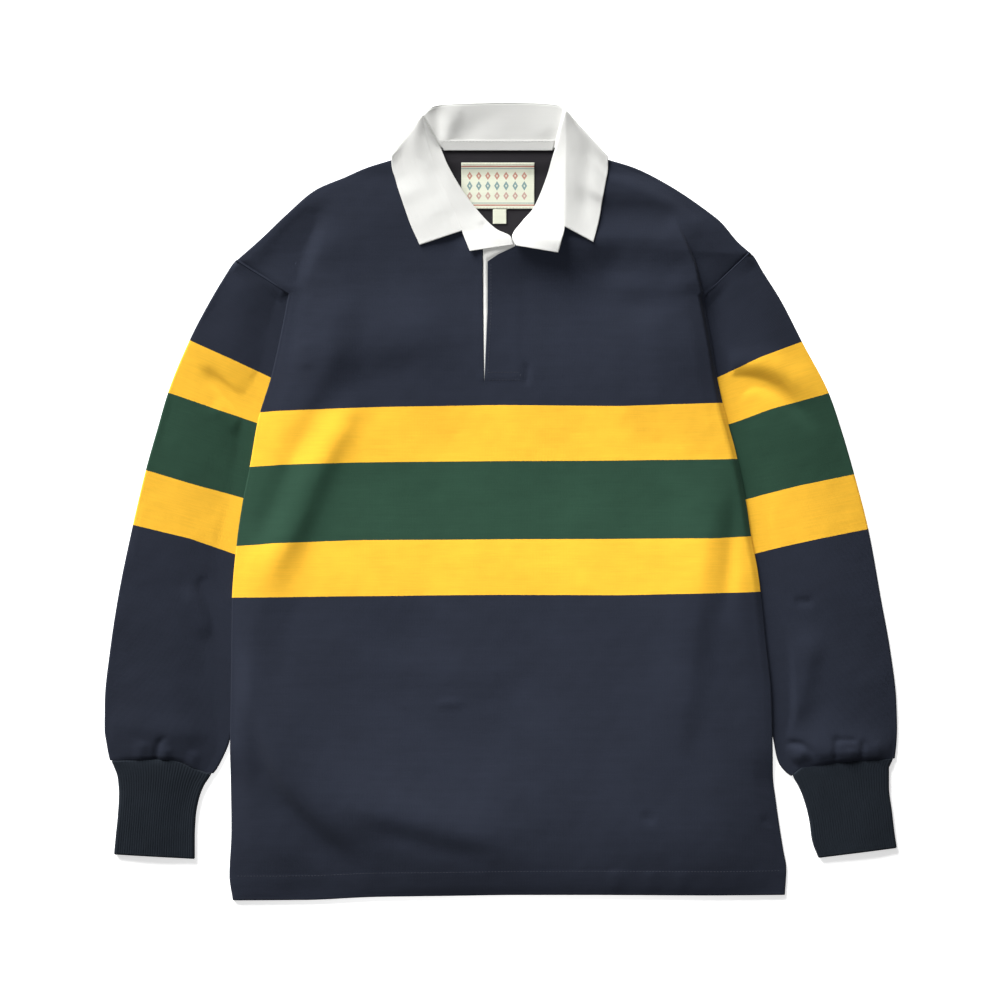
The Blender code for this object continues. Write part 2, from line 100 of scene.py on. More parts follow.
def creases_in(text):
    """A crease from each line that isn't a note: its height in the middle, below 0 for a trough, how far it
    spreads on the left and on the right of its path, and after a colon the path."""
    lines = [line.split(":") for line in text.splitlines() if ":" in line]
    return [Crease(*map(float, sizes.split()), points(path)) for sizes, path in lines]


# ---------------------------------------------------------------- outlines

HEM = points("-268 -400, -195 -399.5, -126 -396.5, -57 -395.5, 20 -394.5, 76 -394.5, 209 -395, 284 -394.5")
SIDE_LEFT = points("""
    -268 -400, -271.5 -375, -269.5 -330, -270.5 -247, -269.5 -180, -268.5 -100, -263.5 -40, -257.5 0,
    -250.5 35, -242.5 80, -229.5 123, -218.5 172, -212 206
""")
SIDE_RIGHT = points("""
    284 -394.5, 285.5 -368, 282.5 -350, 278.5 -325, 275 -300, 272 -275, 271.5 -248, 270.5 -200, 264.5 -140,
    256.5 -70, 250.5 -40, 244.5 0, 235.5 44, 221.5 97, 215 128, 211 154, 205 186, 202 202.5
""")
SHOULDER_LEFT = points("-265 239, -239 262, -214 286, -184 311, -157 322.5, -135 332, -109 340, -70 352")
SHOULDER_RIGHT = points("249.5 247, 237 258, 219 279, 209 287, 166 316, 134 332, 108 340, 68 352")
NOTCH_LEFT, NOTCH_RIGHT = SHOULDER_LEFT[0], SHOULDER_RIGHT[0]
NECK_FRONT_LEFT = points("-18 280, -25 289, -42 312, -56 337, -63 349, -70 352")
NECK_FRONT_RIGHT = points("14 266, 23 277, 34 290, 48 324, 56 349, 68 352")
NECK_BACK = points("-70 352, -60 350.5, 54 350.5, 68 352")
SLIT_LEFT = points("-16.5 118.5, -17.6 188, -18 280")
SLIT_RIGHT = points("-16.5 118.5, -13.4 188, -13.3 238, -3 245, 14 253, 14 266")
SLIT_FOOT = SLIT_LEFT[0]
FLAP = points("-16.5 118.5, 20 118.5, 22 200, 24 262")  # the placket's flap, round from its foot

# The hoops' edges on the body and on each sleeve, from the top one down
BODY_HOOPS = paths("""
    -300 83, -226 89, -191 90.5, -121 93, -1 95, 119 94, 214 97, 300 100
    -300 31, -239 34.5, -211 36, -151 38, -1 39.5, 119 40, 214 41, 300 44
    -300 -49, -251 -45, -226 -43, -151 -40, -1 -39, 214 -38, 300 -33
    -300 -99, -265 -97, -151 -95.5, -1 -94, 119 -94.5, 229 -92, 300 -90
""")
LEFT_HOOPS = paths("""
    -331 169, -311 160, -271 142, -241 128, -160 90
    -351 114, -321 104, -281 90, -251 80, -160 49
    -371 34, -351 29, -311 17, -271 6, -160 -26
    -381 -21, -361 -26, -311 -38, -271 -52, -160 -91
""")
RIGHT_HOOPS = paths("""
    160 99, 219 124, 259 143, 299 158, 340 173
    160 54, 239 80, 269 91, 319 105, 350 114
    160 -21, 249 2, 299 15, 349 25, 370 29
    160 -76, 259 -52, 279 -47, 319 -38, 380 -26
""")

# A sleeve or cuff, as rings from its armhole or seam down: the x and y where it is outermost, the x and y
# where it is innermost, how much of it the body hides, and its crown, how high it stands above its flat rim.
OUTER, INNER, HIDDEN, CROWN = slice(0, 2), slice(2, 4), slice(4, 5), slice(5, 6)
SLEEVE_LEFT = rows("""
    -264.9 240.2 -173.3  182.9 45 2.4
    -268.5   236   -175    178 46 2.4
      -275   226   -176    168 48 2.6
      -290   201   -179    140 52 2.6
      -311   161 -180.5     99 57 2.6
    -332.5   109   -199   60.5 52 2.6
      -344    70   -211     26 46 2.5
      -355    31 -223.5   -9.5 39 2.5
      -368   -24   -239  -59.5 35 2.5
    -383.5  -100   -252   -130 26 2.4
      -391  -150   -260   -174 17 2.5
    -396.2  -200 -266.5 -217.5  9   3
    -396.5  -228   -272   -243  1 4.2
    -394.5  -243   -278   -257  0 4.6
    -392.3  -255   -284   -268  0 3.8
      -391  -260 -287.5 -272.5  0 1.7
""")
SLEEVE_RIGHT = rows("""
    248.9 247.9 166.6  170.1 48 2.2
      253   244 167.2  165.5 49 2.4
      260   232 166.8    155 50 2.9
      280   200 165.5  126.5 52 3.1
      301   159 163.5    104 60 3.2
    328.5   106 185.5   61.5 53 3.4
      342    66 199.5     29 46   3
    353.5    26 213.5     -4 40 2.7
      368   -31   229    -58 34 2.5
    380.5  -100 247.5   -123 24 2.4
    389.5  -150   261 -169.5 16 2.5
    395.5  -200 268.5   -216 10   3
    396.3  -228   273   -243  1 4.2
    395.5  -245 277.5   -262  0 4.6
    394.6  -253   286 -272.5  0 3.8
      394  -258 290.3 -275.5  0 1.7
""")
CUFF_LEFT = rows("""
    -389.5 -260 -288.8 -271.6 0 0.8
      -387 -266   -292   -277 0 1.7
    -383.5 -276 -296.5   -284 0 1.8
      -382 -293 -301.5   -297 0 1.5
      -383 -313   -305   -316 0 1.4
      -385 -333   -306   -338 0 1.3
      -387 -354   -306 -358.5 0   1
""")
CUFF_RIGHT = rows("""
    392.3 -257.8 291.2 -273.6 0 0.8
      390   -263   294   -280 0 1.7
    388.2   -267   296   -283 0 1.8
    388.2   -286 302.5   -298 0 1.5
    391.3   -312 308.2   -320 0 1.4
    393.5   -331   311   -340 0 1.3
      396 -347.5 317.5 -357.5 0   1
""")
# How far the seam of a cuff bends up from straight, over its width from the inner edge out
SEAM_LEFT = points("0 -0.5, 0.05 -1.2, 0.16 1.5, 0.31 6.6, 0.4 7.7, 0.56 6.6, 0.95 0.6, 1 0")
SEAM_RIGHT = points("0 0, 0.04 2.6, 0.09 5.6, 0.24 5.3, 0.45 5.7, 0.62 4.6, 0.85 1.2, 1 0")
CUFF_RIBS = 34  # across a cuff
RIB_HEIGHT = 0.14

# The collar's stand, round from its left front end: whether it lies on the leaf behind the neck, then the x
# and y of its edge at the neck and how far that is raised above what it lies on, and the same of its edge at
# the leaf.
STAND = rows("""
    0  12.5 254.3   0   -31   248 2.6
    0    10 262.4 0.2   -35   258 2.2
    0    -4   270 0.4   -39 268.5   2
    0   -23   289 0.6   -45   284 2.4
    0   -40   312 0.6   -54   306 2.4
    0   -54   337 0.6   -66   335   2
    0   -59   349 0.6 -74.5   362   2
    0 -60.5   351 0.6   -79 383.5   2
    1 -59.5   352 1.3 -77.5   385   2
    1   -45   352 1.3   -66 393.5 1.6
    1   -22   352 1.3   -30   396 0.9
    1     0   352 1.3     0 396.5 0.7
    1    22   352 1.3    28 396.3 0.7
    1    45   352 1.3    56 394.2 1.3
    1  53.5   352 1.3    63   390 2.2
    0  54.5   351 0.6  64.8   388   3
    0    51   341 0.6  64.8   362 5.6
    0    46   324 0.6  64.5   330 5.6
    0    32   291 0.6    64   298 5.8
    0    21   278 0.6  63.5   272 6.4
    0    11   262   3    60   257 7.2
    0    15   253   6    57   246   7
""")

# The collar's leaf, round from its left point: how it lies, where along the stand it is sewn, as a row of the
# table above, the x and y of its free edge, and how high it rolls between the two.
OVER, TURN, UNDER = "over", "turn", "under"
LEAF = (
    (OVER, 2, -81, 254.5, 0.8),
    (OVER, 3, -91, 277, 0.8),
    (OVER, 4, -99, 300, 1.2),
    (OVER, 5, -105.5, 321, 1.6),
    (OVER, 6, -109, 333, 1.2),
    (TURN, 7.3, -108.5, 343.5, 0),
    (UNDER, 9, -98, 343.5, 0),
    (UNDER, 10, -45, LEAF_BEHIND, 0),
    (UNDER, 11, 0, LEAF_BEHIND, 0),
    (UNDER, 12, 42, LEAF_BEHIND, 0),
    (UNDER, 13.3, 92, 343.5, 0),
    (TURN, 14.7, 106.5, 343.5, 0),
    (OVER, 15.3, 107, 333, 0),
    (OVER, 16, 105.3, 321, 0),
    (OVER, 17, 102.5, 306, 0),
    (OVER, 18, 99.5, 288, 0),
    (OVER, 19, 92, 257, 0),
)
OVER_ACROSS = np.array((0, 0.08, 0.18, 0.32, 0.5, 0.74, 1.0))  # a row's points, from the stand out
TURN_ACROSS = np.array((0, 0.06, 0.12, 0.2, 0.42, 0.7, 1.0))
ROLL = np.radians((90, 30, -30, -90))  # of the crest behind the neck, from the stand over and back under
LEAF_SAG = 1.3  # the power by which the leaf falls away from the stand
TURN_HEIGHT = 6.4  # of the fold where the leaf turns under

# The corners of the small pieces: near left, near right, far left and far right
TAPE = points("-57 349.5, 51.5 349.5, -61.5 360, 53.5 360")
LABEL = points("-39.5 291.5, 33.5 291.5, -39.5 337.5, 33.5 337.5")
SIZE_TAB = points("-8 276.5, 5.5 276.5, -8 291, 5.5 291")
UNDERLAP = points("-29 112.5, 15 112.5, -29 251, 15 261")

# A fold of the front whose edge stands up on its left (side 1) or right (side -1): it is height high at step
# from its path, and falls away over reach. Along the path it rises and fades over those lengths.
Fold = namedtuple("Fold", "side height step reach rises fades path")
FOLD_LEFT = Fold(1, 2.4, 16, 60, 32, 28, points("-184 290, -190 272, -196 252, -204 232, -211 206"))
FOLD_RIGHT = Fold(-1, 6.0, 2.5, 75, 62, 380, points("""
    172 288, 178 274, 189 250, 196 232, 200 214, 204 202, 209 178, 215 150, 222 112, 239 44, 249 0, 261 -70,
    269 -140, 275 -200, 279 -260
"""))

FRONT_CREASES = creases_in("""
    # the rise of the chest, and of the cloth above the hem
    5.5 75 105: -260 146, -120 150, 0 152, 120 150, 235 158
    2.8 110 42: -120 -350, 0 -351, 120 -352, 220 -350, 340 -340
    3 90 70: -330 -75, -150 -75, 0 -78, 150 -75, 330 -70
    # left chest
    4.8 40 36: -212 150, -171 150, -136 153, -101 160, -66 172, -39 182
    1 8 8: -197 162, -196 148, -194 128
    -1.6 18 22: -190 118, -150 124, -105 130, -60 146
    -4.2 18 44: -178 306, -190 278, -200 250, -214 218, -226 190
    # right shoulder and chest
    -2.2 12 13: 80 291, 130 289, 172 288, 206 288
    2.8 13 18: 70 262, 120 259, 155 257, 204 264
    1.8 13 12: 92 216, 130 213, 165 213, 204 222
    3.6 44 70: 86 150, 150 150, 246 156
    4 26 52: 40 322, 110 316, 170 304, 236 284
    -2 6 6: 158 316, 178 303, 204 283
    5.5 14 30: -60 246, 0 257, 60 258, 120 250
    -3.4 30 60: -20 226, 20 221, 66 220, 110 222, 150 232
    -1.4 3 3: 25 140, 26 126, 25 112
    # left body, across the hoops
    4.5 13 23: -132 126, -156 76, -181 30, -199 -14, -221 -58, -243 -98
    -3.4 20 14: -146 140, -178 88, -206 38, -232 -22, -252 -62
    # right body, beside the arm
    3.6 16 32: 216 44, 208 -10, 198 -70, 192 -130, 182 -210, 172 -280
    -2.2 9 9: 238 20, 228 -60, 222 -130
    # lower left
    -5 13 22: -266 -176, -253 -226, -240 -262, -223 -293, -192 -328, -155 -360, -128 -382
    8 60 48: -430 -40, -330 -160, -262 -226, -210 -272, -150 -308, -80 -330, 0 -346, 90 -360
    2.6 18 9: -247 -192, -228 -252, -213 -281, -181 -316, -141 -350
    2.8 24 15: -166 -298, -120 -311, -80 -322, -40 -334, 24 -340
    -2.2 12 12: -144 -322, -96 -336, -52 -347, -6 -359
    # lower right and middle
    0.8 6 7: 112 -366, 116 -380, 118 -392
    0.8 7 6: 146 -368, 150 -382, 151 -393
    0.7 6 6: 176 -370, 180 -382, 181 -393
    -1.2 4 4: 140 -312, 147 -317, 154 -321
    -1.2 4 4: 260 -316, 267 -320, 274 -323
    0.8 4 4: -66 -203, -50 -202, -36 -203
    1 20 18: -150 -150, -90 -166, -20 -172, 50 -160
""")
LEFT_CREASES = creases_in("""
    -3.8 6 7: -304 138, -283 117, -267 102, -245 84, -226 62
    -1.8 5 5: -248 128, -238 115, -230 100
    1.2 9 9: -290 96, -274 84, -260 68
    -2.6 7 7: -304 -74, -288 -100, -274 -130
    1.9 9 9: -318 -84, -303 -112, -290 -142
    -1.3 3.5 3.5: -344.5 -270, -344 -254, -342 -243, -336 -238, -330 -238
    1.2 6 5: -336 -270, -335 -256, -333 -244
    0.9 7 6: -362 -268, -360 -252, -357 -238
    0.9 6 6: -310 -276, -308 -262, -304 -248
    1.4 18 12: -400 -216, -370 -224, -330 -230, -280 -234
""")
RIGHT_CREASES = creases_in("""
    2.6 14 9: 200 112, 222 130, 242 137, 262 136, 284 126, 306 108, 320 92
    -3.4 7 9: 204 84, 222 106, 236 116, 252 120, 274 112, 298 90, 318 66
    -1.2 5 5: 262 -96, 276 -98, 290 -97
    -1 4 5: 292 -100, 304 -101, 314 -100
    2.6 12 18: 312 -120, 306 -160, 298 -200, 286 -236
    2.6 18 10: 262 -240, 310 -251, 350 -251, 410 -240
    -2 4 4: 270 -246, 282 -242, 296 -243, 308 -250, 318 -262
    1.1 6 6: 290 -262, 300 -254, 306 -244
    -1.3 3.5 3.5: 335 -266, 334 -252, 334 -240, 340 -234
    -0.9 3 3: 332 -240, 344 -239, 358 -240
    -1.2 3.5 3.5: 359 -264, 361 -250, 362 -236
    0.9 6 6: 347 -266, 348 -254, 348 -246
    0.8 5 5: 376 -262, 376 -250, 375 -238
""")
COLLAR_CREASES = creases_in("""
    -2 6 6: -70 398, -66 390, -62 374, -58 356
    1.6 7 10: -36 404, -42 392, -52 372, -60 350
    -1.5 10 11: 20 404, -2 390, -30 370, -42 348
    1.2 14 12: 30 398, 38 384, 48 360
    -1 8 8: -70 345, -62 320, -52 298, -44 280, -40 266
    -1 14 14: -84 358, -72 326, -66 302, -60 288
    -0.9 7 10: 84 372, 86 340, 84 310, 82 280, 80 262
    -1 3 3: -19 279, -16 270, -13 264
""")


# ---------------------------------------------------------------- curves


def smooth(t):
    """0 below 0, 1 above 1, and between them a cubic that starts and ends level."""
    t = np.clip(t, 0, 1)
    return t * t * (3 - 2 * t)


def lengths(path):
    """How far along a path each of its points is."""
    return np.concatenate([[0], np.cumsum(np.linalg.norm(np.diff(path, axis=0), axis=1))])


def through(knots, values, at):
    """Values on a smooth curve through the given ones: a cubic on each span, whose slope at a knot is the
    harmonic mean of the chords beside it, or level where they change sign, so that it never overshoots."""
    knots, values, at = (np.asarray(item, float) for item in (knots, values, at))
    flat = values.reshape(len(knots), -1)
    span = np.diff(knots)[:, None]
    chord = np.diff(flat, axis=0) / span
    before, after = chord[:-1], chord[1:]
    near, far = 2 * span[1:] + span[:-1], span[1:] + 2 * span[:-1]
    same = before * after > 0
    mean = (near + far) / (near / np.where(same, before, 1) + far / np.where(same, after, 1))
    slope = np.vstack([chord[:1], np.where(same, mean, 0), chord[-1:]])
    i = np.clip(np.searchsorted(knots, at, side="right") - 1, 0, len(knots) - 2)
    wide = span[i]
    t = (at - knots[i])[:, None] / wide
    found = flat[i] * (1 + 2 * t) * (1 - t) ** 2 + flat[i + 1] * t**2 * (3 - 2 * t)
    found += wide * (slope[i] * t * (1 - t) ** 2 + slope[i + 1] * t**2 * (t - 1))
    return found.reshape(len(at), *values.shape[1:])


def on_path(path, at):
    """The points that lie the given lengths along a path of straight pieces."""
    knots = lengths(path)
    return np.stack([np.interp(at, knots, axis) for axis in path.T], axis=-1)


def curve(path, step=4):
    """Points about step apart on a smooth curve through the given ones."""
    knots = lengths(path)
    return through(knots, path, np.linspace(0, knots[-1], max(2, round(knots[-1] / step) + 1)))


def spaced(length, count, marks):
    """count + 1 places along a length, crowded round each mark, which is (place, how many times closer,
    reach): equal steps of an even density plus, for each mark, one that decays away from it."""
    fine = np.linspace(0, length, 900)
    density = 1 + sum(closer * np.exp(-np.abs(fine - place) / reach) for place, closer, reach in marks)
    total = np.concatenate([[0], np.cumsum((density[1:] + density[:-1]) / 2)])
    return np.interp(np.linspace(0, total[-1], count + 1), total, fine)


def rimmed(length, count, closer, reach, *marks):
    """Places along a length, crowded at both ends and round any further marks."""
    return spaced(length, count, ((0, closer, reach), (length, closer, reach), *marks))


def beside(path, x, y):
    """For each point (x, y): its distance from a path, 1 where it is on the path's left and -1 on its right,
    and how far along the path the nearest place is, from 0 to 1."""
    start, along = path[:-1], np.diff(path, axis=0)
    long = (along**2).sum(axis=1)
    dx, dy = np.ravel(x)[:, None] - start[:, 0], np.ravel(y)[:, None] - start[:, 1]
    t = np.clip((dx * along[:, 0] + dy * along[:, 1]) / long, 0, 1)
    dx, dy = dx - t * along[:, 0], dy - t * along[:, 1]
    away = np.hypot(dx, dy)
    nearest = away.argmin(axis=1)
    pick = np.arange(len(nearest)), nearest
    side = np.sign(along[nearest, 0] * dy[pick] - along[nearest, 1] * dx[pick])
    reached = lengths(path)
    place = (reached[nearest] + t[pick] * np.sqrt(long[nearest])) / reached[-1]
    return [found.reshape(np.shape(x)) for found in (away[pick], side, place)]


def inside(outline, x, y):
    """Whether each point lies inside the closed outline: a line from it crosses an odd number of sides."""
    crossings = np.zeros(np.shape(x), int)
    for (x0, y0), (x1, y1) in zip(outline, np.roll(outline, -1, axis=0)):
        if y0 != y1:
            crossings += ((y0 > y) != (y1 > y)) & (x < x0 + (y - y0) * (x1 - x0) / (y1 - y0))
    return crossings % 2 == 1


def creases(table, x, y):
    """The height that creases add: a bell across each path, with its own reach on either side, which swells
    and dies away smoothly along the path."""
    height = np.zeros(np.shape(x))
    for crease in table:
        away, side, place = beside(curve(crease.path), x, y)
        reach = np.where(side > 0, crease.left, crease.right)
        ends = smooth(np.minimum(place, 1 - place) / CREASE_ENDS)
        height += crease.height * np.exp(-((away / reach) ** 2)) * ends
    return height


def uneven(x, y, size, seed):
    """Gentle unevenness, about -1 to 1: a sum of waves about size long in directions of their own."""
    draw = np.random.default_rng(seed)
    height = np.zeros(np.shape(x))
    for _ in range(12):
        turn, phase, wave = draw.uniform(0, 2 * np.pi), draw.uniform(0, 2 * np.pi), size * draw.uniform(0.7, 1.6)
        height += np.sin(2 * np.pi * (x * np.cos(turn) + y * np.sin(turn)) / wave + phase)
    return height / 5


# ---------------------------------------------------------------- heights


def tucked(side, rings):
    """Where the body covers a sleeve: the covered part's inner edge from the side's top down, and its outline."""
    covered = rings[rings[:, HIDDEN][:, 0] > 0]
    inner = covered[:, INNER]
    return np.vstack([side[-1], inner]), np.vstack([inner, covered[::-1, OUTER]])


TUCKED = [tucked(SIDE_LEFT, SLEEVE_LEFT), tucked(SIDE_RIGHT, SLEEVE_RIGHT)]
SEAMS = [  # where front and back are sewn together
    curve(SIDE_LEFT), curve(SIDE_RIGHT), curve(SHOULDER_LEFT), curve(SHOULDER_RIGHT),
    np.array((SIDE_LEFT[-1], NOTCH_LEFT)), np.array((SIDE_RIGHT[-1], NOTCH_RIGHT)),
]
HEM_EDGE = curve(HEM)


def back_bottom(x, y, ramp=BACK_CLIMB):
    """The back panel lies on the surface and climbs over ramp onto the sleeves and the leaf behind the neck."""
    height = OVER_LEAF * smooth((y - (LEAF_BEHIND - LEDGE - LEAF_CLIMB)) / LEAF_CLIMB)
    for edge, outline in TUCKED:
        away = np.where(inside(outline, x, y), 0, beside(edge, x, y)[0])
        height = np.maximum(height, OVER_SLEEVE * smooth(1 - (away - LEDGE) / ramp))
    return height


def back_middle(x, y):
    """The middle of the back panel's wall, which lies with its underside on back_bottom."""
    return back_bottom(x, y) + JERSEY / 2


def folds(x, y):
    """The steps of the folds: up over step on the high side of a path, and down again over its reach.
    A fold dies away towards both ends of its path."""
    height = np.zeros(np.shape(x))
    for fold in (FOLD_LEFT, FOLD_RIGHT):
        path = curve(fold.path)
        away, side, place = beside(path, x, y)
        total = lengths(path)[-1]
        step = smooth(away / fold.step) * np.clip(1 - (away - fold.step) / fold.reach, 0, 1) ** 2
        dies = smooth(place * total / fold.rises) * smooth((total - place * total) / fold.fades)
        height += np.where(side == fold.side, fold.height * step * dies, 0)
    return height


def ease_in(away, reach):
    """0 at an edge and 1 from reach off it, along a quarter of a sine."""
    return np.sin(np.clip(away / reach, 0, 1) * np.pi / 2)


def front_middle(x, y):
    """The front panel lies on the back at its rims, and puffs up between them with its folds and creases. Its
    hem and its placket's flap are doubled, and it bends down to the seams."""
    seam = np.min([beside(edge, x, y)[0] for edge in SEAMS], axis=0)
    hem = beside(HEM_EDGE, x, y)[0]
    height = PUFF * ease_in(seam, PUFF_REACH) * ease_in(hem, HEM_REACH) + folds(x, y) * smooth(seam / 5)
    wrinkles = creases(FRONT_CREASES, x, y) + 0.6 * uneven(x, y, 95, 3) + 0.09 * uneven(x, y, 26, 5)
    height += wrinkles * smooth(seam / 22) * smooth((hem + 4) / 14)
    height = (height + np.hypot(height, 0.4)) / 2  # stays above the back panel
    height += HEM_STEP * smooth((HEM_DEPTH - hem) / 3)
    flap, flap_side, _ = beside(curve(FLAP[1:]), x, y)
    foot = y - FLAP[0, 1]
    on_flap = (flap_side > 0) & (x > SLIT_FOOT[0] - 6) & (foot > 0)
    height += np.where(on_flap, FLAP_STEP * smooth(flap / 5) * smooth(foot / 3), 0)
    off = SEAM_GAP + (JERSEY + EASE - SEAM_GAP) * np.sqrt(1 - (1 - np.clip(seam / SEAM_ROLL, 0, 1)) ** 2)
    return back_bottom(x, y, FRONT_CLIMB) + JERSEY / 2 + off + height * smooth(seam / 6)


def front_top(x, y):
    """The upper side of the front panel's wall."""
    return front_middle(x, y) + JERSEY / 2


# ---------------------------------------------------------------- making meshes


def put(name, data):
    """An object in the scene, for a mesh, a light or a camera."""
    made = bpy.data.objects.new(name, data)
    bpy.context.scene.collection.objects.link(made)
    return made


def new_piece(name, points, faces, material, uv=None, hoops=None, lining=None):
    """A mesh object from points in millimetres and arrays of faces, each with equal numbers of corners. A
    lining is a second material, for the first array."""
    mesh = bpy.data.meshes.new(name)
    corners = np.concatenate([batch.ravel() for batch in faces])
    sizes = np.concatenate([np.full(len(batch), batch.shape[1]) for batch in faces])
    mesh.vertices.add(len(points))
    mesh.vertices.foreach_set("co", (np.asarray(points) * MM).astype(np.float32).ravel())
    mesh.loops.add(len(corners))
    mesh.loops.foreach_set("vertex_index", corners.astype(np.int32))
    mesh.polygons.add(len(sizes))
    mesh.polygons.foreach_set("loop_start", np.concatenate([[0], np.cumsum(sizes)[:-1]]).astype(np.int32))
    mesh.update(calc_edges=True)
    if uv is not None:
        mesh.uv_layers.new(name="cut").data.foreach_set("uv", (uv * MM).astype(np.float32).ravel())
    if hoops is not None:
        held = mesh.attributes.new("hoops", "FLOAT", "POINT")
        held.data.foreach_set("value", hoops.astype(np.float32))
    mesh.materials.append(material)
    if lining is not None:
        mesh.materials.append(lining)
        lined = np.arange(len(sizes)) < len(faces[0])
        mesh.polygons.foreach_set("material_index", lined.astype(np.int32))
    mesh.shade_smooth()
    made = put(name, mesh)
    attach(made, "root")
    return made


def quads(at):
    """The squares between neighbours of a grid of numbers, as an array of their corners."""
    return np.stack([at[:-1, :-1], at[:-1, 1:], at[1:, 1:], at[1:, :-1]], axis=-1).reshape(-1, 4)


def cloth(name, points, faces, uv, wall, away, material, hoops=None, lining=None):
    """A closed shell round a surface of squares. Each point goes half the wall out along the surface's normal
    and half in. Towards a rim, away being the distance from it, the wall thins as a quarter circle, and at
    the rim both sides share the point. uv has a pair for each corner of each face."""
    used, faces = np.unique(faces, return_inverse=True)
    points, away, faces = points[used], away[used], faces.reshape(-1, 4)
    a, b, c, d = points[faces].transpose(1, 0, 2)
    normal = np.zeros_like(points)
    for corner in faces.T:
        np.add.at(normal, corner, np.cross(c - a, d - b))
    normal /= np.linalg.norm(normal, axis=1)[:, None]
    edges = np.sort(np.concatenate([faces[:, [i, (i + 1) % 4]] for i in range(4)]), axis=1)
    pairs, count = np.unique(edges, axis=0, return_counts=True)
    rim = np.zeros(len(points), bool)
    rim[pairs[count == 1]] = True
    half = wall / 2 * np.sqrt(1 - (1 - np.clip(away / (wall * ROUND), 0, 1)) ** 2)
    half = np.where(rim, 0, np.maximum(half, wall / 20))[:, None]
    inner = np.where(rim, np.arange(len(points)), len(points) + np.cumsum(~rim) - 1)
    both = np.vstack([points + normal * half, (points - normal * half)[~rim]])
    corners = np.concatenate([uv, uv[:, ::-1]])
    striped = None if hoops is None else np.concatenate([hoops[used], hoops[used][~rim]])
    return new_piece(name, both, [faces, inner[faces[:, ::-1]]], material, corners, striped, lining)


def hoop_places(lines, x, y):
    """Where each point is among the hoops' edges: 0 at the top one, 1 at the next and so on, in between in
    proportion, and past the first and last at the same rate."""
    edges = np.array([np.interp(x, *line.T) for line in lines])
    place = np.zeros(np.shape(x))
    for i in range(len(lines) - 1):
        here = i + (edges[i] - y) / (edges[i] - edges[i + 1])
        place = np.where((y <= edges[i]) | (i == 0), here, place)
    return place


# ---------------------------------------------------------------- panels


def between(left, right, across, low, high, up):
    """A grid of points from the four edges of a patch: each row is straight from left to right, and is then
    moved by how far the low and the high edge bend from straight, up to up of the latter."""
    straight = left[:, None] + (right - left)[:, None] * across[..., None]
    bends = []
    for edge, fractions in ((low, across[0]), (high, across[-1])):
        total = lengths(edge)[-1]
        chord = edge[0] + (edge[-1] - edge[0]) * fractions[:, None]
        bends.append(on_path(edge, fractions * total) - chord)
    return straight + bends[0] * (1 - up)[:, None, None] + bends[1] * up[:, None, None]


def half_front(side, slit, neck, hem, shoulder, level, fold, columns):
    """Half of the front panel, in rows from the side to the middle, from the hem up. A row joins a place on
    the side and armhole to one on the middle line, slit and neck, and the one at level on the middle line
    meets the side's top. Columns crowd at rims and at the fold."""
    outer = np.vstack([curve(side), shoulder[0]])
    inner = np.vstack([hem[-1], slit, neck[1:]])
    reached, climbed = lengths(inner), lengths(outer)
    slit_foot = reached[1]
    places_up = np.concatenate([
        spaced(slit_foot, 146, ((0, 9, 1.2), (HEM_DEPTH, 2, 2)))[:-1],
        slit_foot + spaced(reached[-1] - slit_foot, 84, ((reached[-1] - slit_foot, 9, 1.2), (0, 2, 3))),
    ])
    armpit_row = slit_foot + level - SLIT_FOOT[1]
    for place in (*reached[2:-1], armpit_row):
        places_up[np.abs(places_up - place).argmin()] = place
    side_foot = np.interp(SLIT_FOOT[1] - 4, outer[:, 1], climbed)
    meets = (0, side_foot, climbed[-2], climbed[-1])
    left = on_path(outer, np.interp(places_up, (0, slit_foot, armpit_row, reached[-1]), meets))
    right = on_path(inner, places_up)
    wide = np.linalg.norm(right - left, axis=1)
    up = smooth((places_up - slit_foot) / (reached[-1] - slit_foot))
    tried = between(left, right, np.tile(np.linspace(0, 1, 61), (len(places_up), 1)), hem, shoulder, up)
    nearest = beside(curve(fold.path), tried[..., 0], tried[..., 1])[0].argmin(axis=1) / 60
    nearest = np.convolve(np.pad(nearest, 6, mode="edge"), np.full(13, 1 / 13), mode="valid")
    closer = 3.2 * smooth((left[:, 1] - 100) / 40)
    across = np.array([
        rimmed(width, columns, 9, 1.2, (place * width, more, 7)) / width
        for width, place, more in zip(wide, nearest, closer)
    ])
    plan = between(left, right, across, hem, shoulder, up)
    inward = np.where(places_up[:, None] > slit_foot, (1 - across) * wide[:, None], np.inf)
    away = np.minimum.reduce([across * wide[:, None], inward, places_up[:, None] + 0 * across])
    away = np.minimum(away, (reached[-1] - places_up)[:, None] + 0 * across)
    return plan, away, places_up <= slit_foot + 1e-6


def hem_part(right):
    """The hem's edge from the left or right side to below the slit."""
    kept = HEM_EDGE[(HEM_EDGE[:, 0] > SLIT_FOOT[0]) == right]
    foot = on_path(HEM_EDGE, [np.interp(SLIT_FOOT[0], HEM_EDGE[:, 0], lengths(HEM_EDGE))])
    return np.vstack([kept[::-1] if right else kept, foot])


